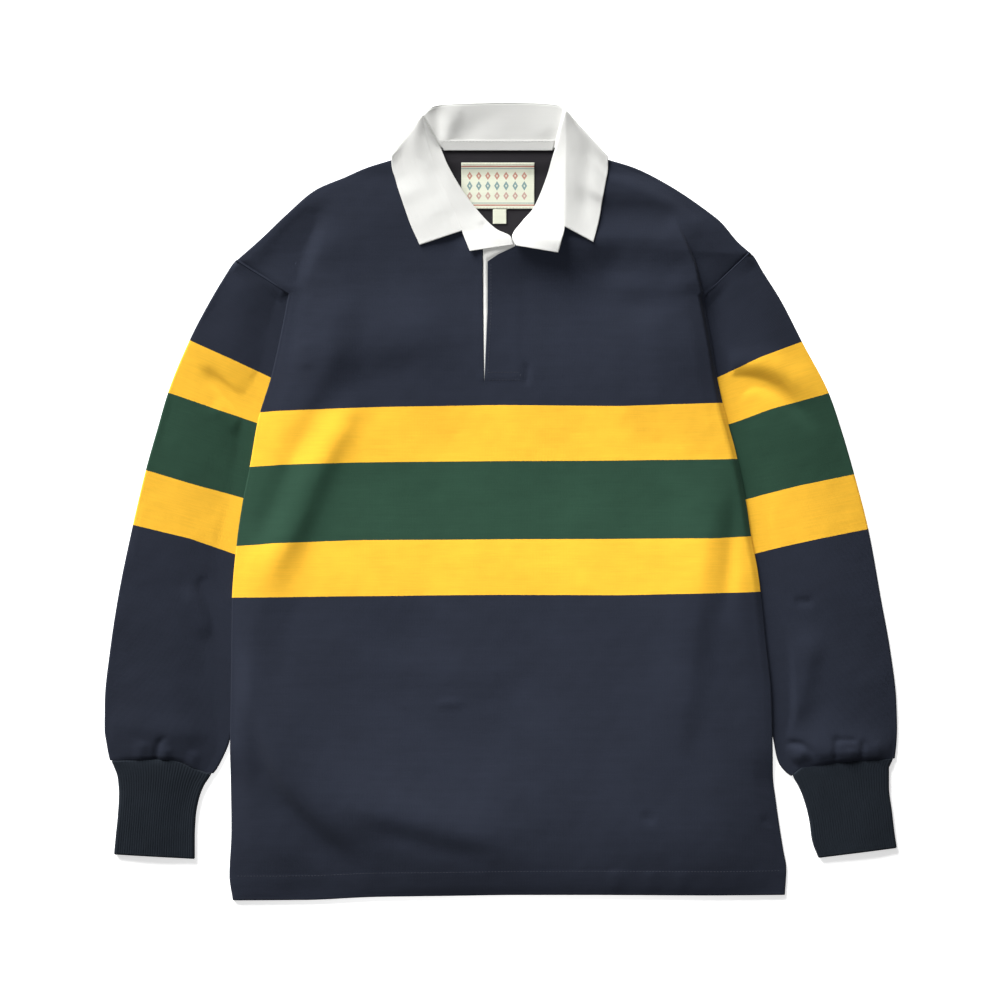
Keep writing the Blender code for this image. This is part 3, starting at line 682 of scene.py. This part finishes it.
def front_panel(material):
    """Two halves, joined from the hem up to the slit's foot."""
    left, left_away, joined = half_front(
        SIDE_LEFT, SLIT_LEFT, NECK_FRONT_LEFT, hem_part(False), curve(SHOULDER_LEFT),
        level=212, fold=FOLD_LEFT, columns=84,
    )
    right, right_away, _ = half_front(
        SIDE_RIGHT, SLIT_RIGHT, NECK_FRONT_RIGHT, hem_part(True), curve(SHOULDER_RIGHT),
        level=205, fold=FOLD_RIGHT, columns=92,
    )
    right, right_away = right[:, ::-1], right_away[:, ::-1]
    left_at = np.arange(left[..., 0].size).reshape(left.shape[:2])
    right_at = left_at.size + np.arange(right[..., 0].size).reshape(right.shape[:2])
    right_at[joined, 0] = left_at[joined, -1]
    plan = np.vstack([left.reshape(-1, 2), right.reshape(-1, 2)])
    faces = np.vstack([quads(left_at), quads(right_at)])
    x, y = plan.T
    points = np.column_stack([plan, front_middle(x, y)])
    away = np.concatenate([left_away.ravel(), right_away.ravel()])
    return cloth("front_panel", points, faces, plan[faces], JERSEY, away, material, hoop_places(BODY_HOOPS, x, y))


def back_panel(material, lining):
    """One grid of rows from the left side and armhole to the right ones. Its upper side is its inside."""
    edges, places = [], []
    for side, notch in ((SIDE_LEFT, NOTCH_LEFT), (SIDE_RIGHT, NOTCH_RIGHT)):
        edge = np.vstack([curve(side), notch])
        edges.append(edge)
        climbed = lengths(edge)
        places.append((0, climbed[-2], climbed[-1]))
    total = places[0][-1]
    up = rimmed(total, 150, 9, 1.2)
    up[np.abs(up - places[0][1]).argmin()] = places[0][1]
    left, right = on_path(edges[0], up), on_path(edges[1], np.interp(up, *places))
    wide = np.linalg.norm(right - left, axis=1)
    across = np.array([rimmed(width, 128, 9, 1.2) / width for width in wide])
    top = np.vstack([curve(SHOULDER_LEFT), NECK_BACK[1:], curve(SHOULDER_RIGHT)[::-1][1:]])
    plan = between(left, right, across, HEM_EDGE, top, smooth((up / total - 0.35) / 0.65)).reshape(-1, 2)
    faces = quads(np.arange(across.size).reshape(across.shape))
    near = np.minimum(across, 1 - across) * wide[:, None]
    away = np.minimum(near, np.minimum(up, total - up)[:, None]).ravel()
    x, y = plan.T
    points = np.column_stack([plan, back_middle(x, y)])
    hoops = hoop_places(BODY_HOOPS, x, y)
    return cloth("back_panel", points, faces, plan[faces], JERSEY, away, material, hoops, lining)


# ---------------------------------------------------------------- sleeves and cuffs


def tube(name, rings, wall, count, columns, material, flip, seam, table=(), hoops=None, ribs=0):
    """A sleeve or cuff pressed flat, as rings that run over its top from the inner edge to the outer one and
    back under it. Each edge is half an ellipse, the underside is flat, and the top carries a crown, a sine
    over what the body leaves open, with the creases. Ribs are a cosine across it. Towards the cuff's seam
    the rings bend with it."""
    middles = (rings[:, OUTER] + rings[:, INNER]) / 2
    knots = lengths(middles)
    end = knots[-1]
    places = spaced(end, count, ((0, 4, 2), (end, 5, 2), (0 if ribs else end, 0.8, 30)))
    ring = through(knots, rings, places)
    outer, inner, hidden, crown = (ring[:, part] for part in (OUTER, INNER, HIDDEN, CROWN))
    wide = np.linalg.norm(outer - inner, axis=1)[:, None]
    if ribs:
        s = (np.arange(columns + 1) / columns)[None] * wide
    else:
        s = np.array([rimmed(width, columns, 8, 1.4) for width in wide[:, 0]])
    s = np.hstack([s, s[:, -2:0:-1]])
    under = np.arange(s.shape[1]) > columns
    plan = inner[:, None] + (outer - inner)[:, None] / wide[..., None] * (
        wall / 2 + s * (1 - wall / wide)
    )[..., None]
    down = middles[1] - middles[0] if ribs else middles[-1] - middles[-2]
    bend = np.interp(s / wide, *seam.T) * smooth(1 - (places if ribs else end - places) / 45)[:, None]
    plan = plan - bend[..., None] * down / np.linalg.norm(down)
    x, y = plan[..., 0], plan[..., 1]
    rim = SLEEVE_RIM if wall < 1.5 else 2 * wall + 0.5
    shown = np.clip((s - hidden - BESIDE) / (wide - hidden - BESIDE), 0, 1)
    ripple = creases(table, x, y) + (0.5 * uneven(x, y, 75, 7) + 0.08 * uneven(x, y, 24, 9)) * smooth(shown * 8)
    ripple = ripple * smooth(shown * 12) * smooth((1 - shown) * 12)
    top = rim - wall / 2 + np.maximum(crown * np.sin(np.pi * shown) ** 1.2 + ripple, 0)
    if not ribs:
        sewn = smooth((s - hidden) / 7) * smooth((wide - s) / 5) * (1 - smooth(places / SEAM_DROP)[:, None])
        top = top + (SEWN_HEIGHT - top) * sewn
    edge = np.minimum(s, wide - s) / (rim / 2)
    bulge = np.sqrt(1 - (1 - np.clip(edge, 0, 1)) ** 2)
    z = rim / 2 + np.where(under, wall / 2 - rim / 2, top - rim / 2) * bulge
    if ribs:
        z += np.where(under, 0, RIB_HEIGHT) * (np.cos(2 * np.pi * ribs * s / wide) - 1) * smooth(edge)
    points = np.stack([x, y, z], axis=-1)
    at = np.arange(z.size).reshape(z.shape)
    at = np.hstack([at, at[:, :1]])
    around = np.hstack([s[:, : columns + 1], 2 * wide - s[:, columns + 1 :], 2 * wide])
    chart = np.stack([around - wide, -places[:, None] + 0 * around], axis=-1)
    if flip:
        at, chart = at[:, ::-1], chart[:, ::-1]
    faces = quads(at)
    corners = chart.reshape(-1, 2)[quads(np.arange(at.size).reshape(at.shape))]
    away = np.minimum(places, end - places)[:, None] + 0 * z
    striped = None if hoops is None else hoop_places(hoops, x, y).ravel()
    return cloth(name, points.reshape(-1, 3), faces, corners, wall, away.ravel(), material, striped)


# ---------------------------------------------------------------- collar


def resting(behind, x, y, wall):
    """The height of a wall's middle where it lies on the front panel, or on the leaf behind the neck."""
    return (FALL if behind else front_top(x, y)) + EASE + wall / 2


def stand_rows():
    """Each row runs from the neck edge to the leaf, in four points."""
    made = []
    for behind, *sizes in STAND:
        ends = [(x, y, resting(behind, x, y, TWILL) + lift) for x, y, lift in (sizes[:3], sizes[3:])]
        neck, top = np.array(ends)
        made.append([neck + (top - neck) * t for t in (0, 0.33, 0.67, 1)])
    return np.array(made)


def leaf_rows(seams):
    """Each row runs from its place on the stand's edge to the free edge. Behind the neck it rolls over that
    edge and comes back under it, and at each corner the whole row lies in the fold."""
    made = []
    low = FALL / 2
    for (lies, _, *free, roll), seam in zip(LEAF, seams):
        free = np.array(free, float)
        plan = seam[:2] + (free - seam[:2]) * (TURN_ACROSS if lies == TURN else OVER_ACROSS)[:, None]
        if lies == OVER:
            free_z = resting(False, *free, FALL)
            z = free_z + (seam[2] - free_z) * (1 - OVER_ACROSS) ** LEAF_SAG
            z = z + roll * (smooth(OVER_ACROSS / 0.4) - smooth((OVER_ACROSS - 0.3) / 0.6))
        elif lies == TURN:
            z = seam[2] + (TURN_HEIGHT - seam[2]) * smooth(TURN_ACROSS / 0.3)
        else:
            radius = (seam[2] - low) / 2
            outward = (seam[:2] - free) / np.linalg.norm(seam[:2] - free)
            flat = seam[:2] + (free - seam[:2]) * np.array((1 / 3, 2 / 3, 1))[:, None]
            plan = np.vstack([seam[:2] + outward * radius * np.cos(ROLL)[:, None], flat])
            z = np.concatenate([low + radius * (1 + np.sin(ROLL)), np.full(len(flat), low)])
        made.append(np.column_stack([plan, z]))
    return np.array(made)


def dense(knots, step, wall):
    """Places along a band: those of its rows, others about step apart, and some close to its ends."""
    spans = [
        np.linspace(start, end, max(4, round((end - start) / step)), endpoint=False)
        for start, end in zip(knots, knots[1:])
    ]
    edge = np.array((0.15, 0.4, 0.8, 1.4)) * wall
    return np.unique(np.concatenate([*spans, [knots[-1]], knots[0] + edge, knots[-1] - edge]))


def ribbon(name, places, grid, wall, across, seam, material):
    """A band of cloth through dense rows of a few points, each made a smooth curve. Its upper face takes the
    collar's creases. The side with the seam, the first or the last point of each row, stays nearly square."""
    made = np.array([through(lengths(row), row, rimmed(lengths(row)[-1], across, 7, 1)) for row in grid])
    width = np.array([lengths(row) for row in made])
    x, y = made[..., 0], made[..., 1]
    made[..., 2] += (creases(COLLAR_CREASES, x, y) + 0.12 * uneven(x, y, 34, 11)) * smooth(made[..., 2] - 3)
    near, far = width, width[:, -1:] - width
    sewn = near if seam == 0 else far
    away = np.minimum(np.where(sewn < 1, np.minimum(near, far) * 5, np.minimum(near, far)), 9)
    away = np.minimum(away, np.minimum(places - places[0], places[-1] - places)[:, None])
    faces = quads(np.arange(away.size).reshape(away.shape))
    chart = np.stack([places[:, None] + 0 * width, width], axis=-1).reshape(-1, 2)
    return cloth(name, made.reshape(-1, 3), faces, chart[faces], wall, away.ravel(), material)


def collar(material):
    """The stand, and the leaf that is sewn to its edge: a row of the leaf at a place along the stand is the
    stand's edge there plus a smooth mix of how the leaf's table rows lie from their own places on it."""
    bands = stand_rows()
    knots = lengths(bands.mean(axis=1))
    sewn = np.interp([leaf[1] for leaf in LEAF], np.arange(len(STAND)), knots)
    places = dense(knots, 2.4, TWILL)
    grid = through(knots, bands, places)
    stand = ribbon("collar_band", places, grid, TWILL, across=18, seam=-1, material=material)
    edge = through(knots, bands[:, -1], sewn)
    from_edge = leaf_rows(edge) - edge[:, None]
    places = dense(sewn, 2.4, FALL)
    grid = through(knots, bands[:, -1], places)[:, None] + through(sewn, from_edge, places)
    grid[..., 2] = np.maximum(grid[..., 2], FALL / 2)
    out = grid[:, 1] - grid[:, 0]
    grid[:, 0] -= 0.4 * out / np.linalg.norm(out, axis=1)[:, None] + (0, 0, 0.1)
    return stand, ribbon("collar_fall", places, grid, FALL, across=32, seam=0, material=material)


# ---------------------------------------------------------------- small pieces


def patch(name, corners, height, wall, step, material):
    """A small four-sided piece, from its near left, near right, far left and far right corners, whose wall's
    middle lies at height(x, y)."""
    near_left, near_right, far_left, far_right = corners
    wide, long = np.linalg.norm(near_right - near_left), np.linalg.norm(far_left - near_left)
    u, v = (rimmed(length, int(length / step) + 8, 5, 0.8) for length in (wide, long))
    across, up = (u / wide)[None, :, None], (v / long)[:, None, None]
    plan = (near_left * (1 - across) + near_right * across) * (1 - up)
    plan = plan + (far_left * (1 - across) + far_right * across) * up
    x, y = plan[..., 0], plan[..., 1]
    away = np.minimum(np.minimum(u, wide - u)[None], np.minimum(v, long - v)[:, None])
    chart = np.stack(np.meshgrid(u, v), axis=-1).reshape(-1, 2)
    faces = quads(np.arange(away.size).reshape(away.shape))
    points = np.stack([x, y, height(x, y)], axis=-1).reshape(-1, 3)
    return cloth(name, points, faces, chart[faces], wall, away.ravel(), material)


def tape_middle(x, y):
    """The tape lies on the stand's lower edge, which is raised 1.3 there, and on the top of the back panel."""
    stand_top = FALL + EASE + TWILL + 1.3
    return np.maximum(stand_top, back_middle(x, y) + JERSEY / 2) + TAPE_GAP + THIN / 2


def label_middle(x, y):
    """The label lies on the back panel and lifts a little between its sewn edges."""
    lift = 0.5 * np.sin(np.pi * np.clip((x + 39.5) / 73, 0, 1)) * np.sin(np.pi * np.clip((y - 276) / 61, 0, 1))
    return back_middle(x, y) + JERSEY / 2 + LAID_GAP + THIN / 2 + lift


def underlap_middle(x, y):
    """The underlap lies under both sides of the slit and swells up between them."""
    middle = np.interp(y, (118.5, 188, 262), (-16.5, -15.2, -15.5))
    room = np.interp(y, (118.5, 150, 188, 262), (0.3, 1.1, 1.9, 1.9))
    swell = 1.2 * np.exp(-(((x - middle) / room) ** 2)) * smooth((y - 120) / 12)
    above = 1.0 * smooth((y - 238 - 0.45 * (x + 13)) / 5) * (x > -18)
    return front_middle(x, y) - JERSEY / 2 - LAID_GAP - THIN / 2 + np.maximum(swell, above)


def stitches(name, runs, spacing, surface, lift, material, length=2.3, gap=0.9, width=0.5):
    """Stitches along each run, a path in plan that is laid on a surface and raised by lift: a spindle for
    each, three rings of six points between two poles, half sunk in the cloth."""
    angle = np.arange(6) * np.pi / 3
    spread = np.repeat((0.75, 1, 0.75), 6)[:, None]
    ring = np.column_stack([np.tile(np.cos(angle), 3), np.tile(np.sin(angle), 3)]) * spread
    along = np.concatenate([np.repeat((-0.3, 0, 0.3), 6), (-0.5, 0.5)])
    ring = np.vstack([ring, np.zeros((2, 2))])
    at = np.arange(18).reshape(3, 6)
    after = np.roll(at, -1, axis=1)
    sides = np.stack([at[:-1], after[:-1], after[1:], at[1:]], axis=-1).reshape(-1, 4)
    caps = np.vstack([
        np.stack([after[0], at[0], np.full(6, 18)], axis=-1), np.stack([at[2], after[2], np.full(6, 19)], axis=-1)
    ])
    centres, ways = [], []
    for run in runs:
        plan = on_path(run, np.arange(0, lengths(run)[-1], spacing))
        laid = np.column_stack([plan, surface(*plan.T) + lift])
        total = lengths(laid)[-1]
        count = max(1, int(total / (length + gap)))
        place = (np.arange(count) + 0.5) * total / count
        centres.append(on_path(laid, place))
        ways.append(on_path(laid, place + 0.5) - on_path(laid, place - 0.5))
    centre, way = np.vstack(centres), np.vstack(ways)
    way /= np.linalg.norm(way, axis=1)[:, None]
    side = np.cross(way, (0, 0, 1.0))
    side /= np.linalg.norm(side, axis=1)[:, None]
    up = np.cross(side, way)
    spindles = centre[:, None] + way[:, None] * (along * length)[:, None]
    spindles = spindles + side[:, None] * ring[:, :1] * width / 2 + up[:, None] * ring[:, 1:] * width / 2
    offset = (np.arange(len(centre)) * 20)[:, None, None]
    faces = [(sides + offset).reshape(-1, 4)[:, ::-1], (caps + offset).reshape(-1, 3)[:, ::-1]]
    return new_piece(name, spindles.reshape(-1, 3), faces, material)


# ---------------------------------------------------------------- finishes


class Tree:
    """A node tree that is written one node to a line."""

    def __init__(self, tree):
        self.tree = tree

    def add(self, kind, inputs=(), **settings):
        made = self.tree.nodes.new("ShaderNode" + kind)
        for key, value in settings.items():
            setattr(made, key, value)
        for socket, value in dict(inputs).items():
            if isinstance(value, bpy.types.NodeSocket):
                self.tree.links.new(value, made.inputs[socket])
            else:
                made.inputs[socket].default_value = value
        return made

    def math(self, operation, *values):
        return self.add("Math", dict(enumerate(values)), operation=operation).outputs[0]

    def mix(self, share, first, second):
        made = self.add("Mix", {0: share, 6: first, 7: second}, data_type="RGBA")
        return made.outputs[2]


def group(name, inputs, outputs):
    """An empty node group with named sockets, as (group, tree, what it is given, what it puts out)."""
    made = bpy.data.node_groups.new(name, "ShaderNodeTree")
    for label, kind in inputs:
        made.interface.new_socket(label, in_out="INPUT", socket_type="NodeSocket" + kind)
    for label, kind in outputs:
        made.interface.new_socket(label, in_out="OUTPUT", socket_type="NodeSocket" + kind)
    tree = Tree(made)
    given = made.nodes.new("NodeGroupInput")
    taken = made.nodes.new("NodeGroupOutput")
    return made, tree, given.outputs, taken.inputs


def knit_group():
    """Knit stitches: columns of V shapes. Across is the place in a column, from 0 in its middle to 1 at its
    border, and a V is a sine along the column that lags with that."""
    made, tree, given, taken = group(
        "knit stitches", (("Place", "Vector"), ("Column", "Float"), ("Row", "Float")), (("Height", "Float"),)
    )
    apart = tree.add("SeparateXYZ", {0: given["Place"]}).outputs
    column = tree.math("DIVIDE", apart[0], given["Column"])
    row = tree.math("DIVIDE", apart[1], given["Row"])
    across = tree.math("PINGPONG", column, 0.5)
    leaning = tree.math("SUBTRACT", row, across)
    wave = tree.math("SINE", tree.math("MULTIPLY", leaning, 2 * np.pi))
    border = tree.math("POWER", tree.math("MULTIPLY", across, 2), 3)
    middle = tree.math("POWER", tree.math("SUBTRACT", 1, tree.math("MULTIPLY", across, 2)), 6)
    legs = tree.math("SUBTRACT", 1, tree.math("ADD", border, middle))
    height = tree.math("MULTIPLY", tree.math("MULTIPLY_ADD", wave, 0.35, 0.65), legs)
    tree.tree.links.new(height, taken["Height"])
    return made


def twill_group():
    """Twill: fine diagonal cords, a sine across them, broken by a finer one along them."""
    made, tree, given, taken = group(
        "twill cords", (("Place", "Vector"), ("Cord", "Float")), (("Height", "Float"),)
    )
    apart = tree.add("SeparateXYZ", {0: given["Place"]}).outputs
    slant = tree.math("DIVIDE", tree.math("ADD", apart[0], tree.math("MULTIPLY", apart[1], 0.7)), given["Cord"])
    along = tree.math("DIVIDE", tree.math("SUBTRACT", apart[1], apart[0]), given["Cord"])
    cord = tree.math("SINE", tree.math("MULTIPLY", slant, 2 * np.pi))
    thread = tree.math("SINE", tree.math("MULTIPLY", along, 3 * np.pi))
    height = tree.math("MULTIPLY_ADD", thread, 0.25, cord)
    tree.tree.links.new(height, taken["Height"])
    return made


def wear_group():
    """Two masks round 0.5: Cloud is broad unevenness of dye, and Streak is fine, drawn out across the cloth as
    rows of slightly thicker yarn are."""
    made, tree, given, taken = group(
        "dye and yarn", (("Place", "Vector"),), (("Cloud", "Float"), ("Streak", "Float"))
    )
    cloud = tree.add("TexNoise", {"Vector": given["Place"], "Scale": 0.02, "Detail": 4, "Roughness": 0.6})
    drawn = tree.add("Mapping", {"Vector": given["Place"], "Scale": (0.03, 0.8, 1)})
    streak = tree.add("TexNoise", {"Vector": drawn.outputs[0], "Scale": 1, "Detail": 3, "Roughness": 0.7})
    tree.tree.links.new(cloud.outputs["Fac"], taken["Cloud"])
    tree.tree.links.new(streak.outputs["Fac"], taken["Streak"])
    return made


KNIT, TWILL_CORDS, WEAR = knit_group(), twill_group(), wear_group()


def new_material(name):
    """A new material, its tree and its shader."""
    material = bpy.data.materials.new(name)
    material.use_nodes = True
    return material, Tree(material.node_tree), material.node_tree.nodes["Principled BSDF"]


def finish(name, roughness=0.9, sheen=0.0, specular=0.25):
    """A cloth's new material, its tree, its shader, and the piece's place in its cut in millimetres."""
    material, tree, shader = new_material(name)
    shader.inputs["Roughness"].default_value = roughness
    shader.inputs["Sheen Weight"].default_value = sheen
    shader.inputs["Sheen Roughness"].default_value = 0.5
    shader.inputs["Specular IOR Level"].default_value = specular
    cut = tree.add("UVMap", uv_map="cut").outputs[0]
    place = tree.add("VectorMath", {0: cut, 1: (1000, 1000, 1000)}, operation="MULTIPLY").outputs[0]
    return material, tree, shader, place


def placed(tree, made, **inputs):
    """A node group set into a tree, with its inputs by name: its outputs."""
    node = tree.add("Group", node_tree=made)
    for key, value in inputs.items():
        if isinstance(value, bpy.types.NodeSocket):
            tree.tree.links.new(value, node.inputs[key])
        else:
            node.inputs[key].default_value = value
    return node.outputs


def bumped(tree, shader, height, distance, strength=1.0):
    """A bump of that height feeds the shader's normal, distance in metres."""
    made = tree.add("Bump", {"Height": height, "Distance": distance, "Strength": strength})
    tree.tree.links.new(made.outputs[0], shader.inputs["Normal"])


def woven(tree, shader, place, colour, spread, made, sizes, depth, strength):
    """What every cloth has: its colour made lighter and darker by the two wear masks, by up to spread, and
    its stitches or cords, of the given sizes, as a bump of that depth in metres."""
    wear = placed(tree, WEAR, Place=place)
    both = tree.math("ADD", wear["Cloud"], wear["Streak"])
    bright = tree.math("MULTIPLY_ADD", tree.math("SUBTRACT", both, 1), spread, 1)
    shade = tree.add("VectorMath", {0: colour, 3: bright}, operation="SCALE")
    tree.tree.links.new(shade.outputs[0], shader.inputs["Base Color"])
    bumped(tree, shader, placed(tree, made, Place=place, **sizes)["Height"], depth, strength)


NAVY = (0.0136, 0.0169, 0.0281, 1)
YELLOW = (0.760, 0.412, 0.0295, 1)
GREEN = (0.0163, 0.0472, 0.0292, 1)
INSIDE = (0.0240, 0.0222, 0.0255, 1)  # of the navy, which looks browner from its purl side
MOTIF_PITCH = 9.1  # from one of the label's lozenges to the next, in millimetres


def jersey_finish(name, navy):
    """Heavy cotton jersey: navy, and yellow, green and yellow between the hoops' edges 0, 1, 2 and 3."""
    material, tree, shader, place = finish(name, sheen=0.02, specular=0.14)
    wobble = tree.add("TexNoise", {"Vector": place, "Scale": 1.1, "Detail": 1}).outputs["Fac"]
    hoops = tree.add("Attribute", attribute_name="hoops").outputs["Fac"]
    ragged = tree.math("MULTIPLY_ADD", wobble, 0.012, tree.math("SUBTRACT", hoops, 0.006))
    past = [tree.math("GREATER_THAN", ragged, edge) for edge in range(4)]
    in_hoops = tree.math("SUBTRACT", past[0], past[3])
    in_green = tree.math("SUBTRACT", past[1], past[2])
    colour = tree.mix(in_green, tree.mix(in_hoops, navy, YELLOW), GREEN)
    woven(tree, shader, place, colour, 0.32, KNIT, {"Column": 1.5, "Row": 1.1}, 0.00035, 0.6)
    return material


def rib_finish():
    """Ribbed knit, darker than the jersey."""
    material, tree, shader, place = finish("cuff rib", sheen=0.02, specular=0.14)
    woven(tree, shader, place, (0.0092, 0.0130, 0.0188), 0.3, KNIT, {"Column": 1.3, "Row": 1.0}, 0.0004, 0.6)
    return material


def twill_finish(name, colour):
    """Cotton twill, washed."""
    material, tree, shader, place = finish(name, roughness=0.85, sheen=0.05)
    woven(tree, shader, place, colour, 0.06, TWILL_CORDS, {"Cord": 0.7}, 0.00012, 0.5)
    return material


def thread_finish(name, colour):
    """Sewing thread: two plies, as bands along the cloth."""
    material, tree, shader = new_material(name)
    shader.inputs["Roughness"].default_value = 0.6
    place = tree.add("TexCoord").outputs["Object"]
    ply = tree.add("TexWave", {"Vector": place, "Scale": 900, "Distortion": 1}, bands_direction="DIAGONAL")
    dark = tuple(0.7 * value for value in colour[:3]) + (1,)
    tree.tree.links.new(tree.mix(ply.outputs["Fac"], dark, colour), shader.inputs["Base Color"])
    bumped(tree, shader, ply.outputs["Fac"], 0.0001)
    return material


def band(tree, value, low, high):
    """1 where low <= value < high, otherwise 0."""
    return tree.math("MULTIPLY", tree.math("GREATER_THAN", value, low), tree.math("LESS_THAN", value, high))


def label_finish(name, motif):
    """Woven label: cream satin, with rows of small lozenges between coloured threads where it has a motif."""
    material, tree, shader, place = finish(name, roughness=0.6, specular=0.4)
    colour = (0.72, 0.74, 0.60)
    if motif:
        colour += (1,)
        apart = tree.add("SeparateXYZ", {0: place}).outputs
        x, y = apart[0], apart[1]
        red, blue = (0.47, 0.21, 0.16, 1), (0.24, 0.34, 0.33, 1)
        for low, high, paint in ((3.0, 4.4, red), (5.4, 6.2, blue), (39.8, 40.6, blue), (41.6, 43.0, red)):
            colour = tree.mix(band(tree, y, low, high), colour, paint)
        dx = tree.math("PINGPONG", tree.math("ADD", x, 0.8), MOTIF_PITCH / 2)
        for middle, tall, paint in (
            (13, 5.2, (0.52, 0.34, 0.29, 1)), (23, 6.0, (0.20, 0.31, 0.31, 1)), (33, 5.2, (0.50, 0.25, 0.19, 1)),
        ):
            dy = tree.math("ABSOLUTE", tree.math("SUBTRACT", y, middle))
            reach = tree.math("ADD", tree.math("DIVIDE", dx, MOTIF_PITCH / 2.6), tree.math("DIVIDE", dy, tall))
            lozenge = band(tree, reach, 0.25, 0.8)
            colour = tree.mix(tree.math("MULTIPLY", lozenge, band(tree, x, 4, 69)), colour, paint)
    woven(tree, shader, place, colour, 0.2, TWILL_CORDS, {"Cord": 0.45}, 0.0001, 0.4)
    return material


JERSEY_CLOTH = jersey_finish("hooped jersey", NAVY)
JERSEY_INSIDE = jersey_finish("jersey inside", INSIDE)
RIB_CLOTH = rib_finish()
WHITE_TWILL = twill_finish("white twill", (0.62, 0.62, 0.598))
TAPE_TWILL = twill_finish("neck tape twill", (0.55, 0.55, 0.53))
LABEL_CLOTH = label_finish("woven label", True)
TAB_CLOTH = label_finish("size tab weave", False)
NAVY_THREAD = thread_finish("navy thread", (0.018, 0.021, 0.034, 1))
WHITE_THREAD = thread_finish("white thread", (0.86, 0.86, 0.83, 1))
CREAM_THREAD = thread_finish("cream thread", (0.70, 0.62, 0.46, 1))

# ---------------------------------------------------------------- the shirt

front = front_panel(JERSEY_CLOTH)
back = back_panel(JERSEY_CLOTH, JERSEY_INSIDE)
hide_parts("front")
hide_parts("back")
sleeves, cuffs = {}, {}
for side, flip, sleeve, cuff, seam, table, hoops in (
    ("left", False, SLEEVE_LEFT, CUFF_LEFT, SEAM_LEFT, LEFT_CREASES, LEFT_HOOPS),
    ("right", True, SLEEVE_RIGHT, CUFF_RIGHT, SEAM_RIGHT, RIGHT_CREASES, RIGHT_HOOPS),
):
    sleeves[side] = tube(
        side + "_sleeve", sleeve, JERSEY, count=250, columns=80, material=JERSEY_CLOTH, flip=flip, seam=seam,
        table=table, hoops=hoops,
    )
    cuffs[side] = tube(
        side + "_cuff", cuff, RIB, count=34, columns=6 * CUFF_RIBS, material=RIB_CLOTH, flip=flip, seam=seam,
        ribs=CUFF_RIBS,
    )
    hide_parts("sleeve_" + side)
    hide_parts("cuff_" + side)

stand, leaf = collar(WHITE_TWILL)
underlap = patch("placket_strip", UNDERLAP, underlap_middle, THIN, step=0.9, material=WHITE_TWILL)
tape = patch("back_neck_tape", TAPE, tape_middle, THIN, step=1.5, material=TAPE_TWILL)
label = patch("woven_label", LABEL, label_middle, THIN, step=1.5, material=LABEL_CLOTH)
tab = patch("size_label", SIZE_TAB, label_middle, THIN, step=1.2, material=TAB_CLOTH)
for piece, node in (
    (stand, "collar_stand"), (leaf, "collar_leaf"), (underlap, "placket_underlap"),
    (tape, "neck_tape"), (label, "neck_label"), (tab, "size_tab"),
):
    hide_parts(node)

# ---------------------------------------------------------------- stitching

hem_stitches = stitches(
    "hem_stitches", [HEM_EDGE[1:-1] + (0, HEM_DEPTH - 1.5)], 3, front_top, 0, NAVY_THREAD
)
placket_lines = paths("""
    -10 236, -9.8 188, -13 128
    -13.5 127.5, 19.5 127.5
    19.5 127.5, 19.5 119.8
    19.5 119.8, -14.5 119.8
""")
placket_stitches = stitches("placket_stitches", placket_lines, 2, front_top, 0, NAVY_THREAD)
tape_lines = paths("-60 358.6, 52.5 358.6")
tape_stitches = stitches("tape_stitches", tape_lines, 3, tape_middle, THIN / 2, WHITE_THREAD)
label_lines = paths("""
    -38.5 336.3, 32.5 336.3
    -38.5 292.7, 32.5 292.7
""")
label_stitches = stitches("label_stitches", label_lines, 3, label_middle, THIN / 2, CREAM_THREAD)

# ---------------------------------------------------------------- floor, light and camera

FLOOR_HALF, FLOOR_HEIGHT = 6, -0.0003
floor_mesh = bpy.data.meshes.new("floor")
corners = [(x * FLOOR_HALF, y * FLOOR_HALF, FLOOR_HEIGHT) for x, y in ((-1, -1), (1, -1), (1, 1), (-1, 1))]
floor_mesh.from_pydata(corners, [], [(0, 1, 2, 3)])
floor = put("floor", floor_mesh)
paint, _, floor_shader = new_material("pale floor")
for socket, value in (
    ("Base Color", (0.96, 0.96, 0.96, 1)), ("Roughness", 1), ("Specular IOR Level", 0),
    ("Emission Color", (1, 1, 1, 1)), ("Emission Strength", 0.56),
):
    floor_shader.inputs[socket].default_value = value
floor_mesh.materials.append(paint)

world = bpy.data.worlds.new("studio")
world.use_nodes = True
world.node_tree.nodes["Background"].inputs["Color"].default_value = (1, 1, 1, 1)
world.node_tree.nodes["Background"].inputs["Strength"].default_value = 0.15
bpy.context.scene.world = world

key = bpy.data.lights.new("key light", "SUN")
key.energy, key.angle = 9.4, 0.55
lamp = put("key light", key)
lamp.rotation_mode = "QUATERNION"
lamp.rotation_quaternion = Vector((-0.475, 0.824, 0.31)).to_track_quat("Z", "Y")

pool = bpy.data.lights.new("pool light", "SPOT")
pool.energy, pool.shadow_soft_size, pool.spot_size, pool.spot_blend = 260, 0.1, 0.31, 1
above = put("pool light", pool)
above.location, above.scale = (0.0, -0.06, 3.2), (0.87, 1, 1)

LENS, SENSOR = 100, 36  # a metre of the surface fills the picture from LENS / SENSOR metres
camera_data = bpy.data.cameras.new("camera")
camera_data.lens, camera_data.sensor_width = LENS, SENSOR
camera = put("camera", camera_data)
camera.location = (-0.0009, 0.0004, LENS / SENSOR + 0.002)
bpy.context.scene.camera = camera
bpy.context.scene.view_settings.view_transform = "Standard"
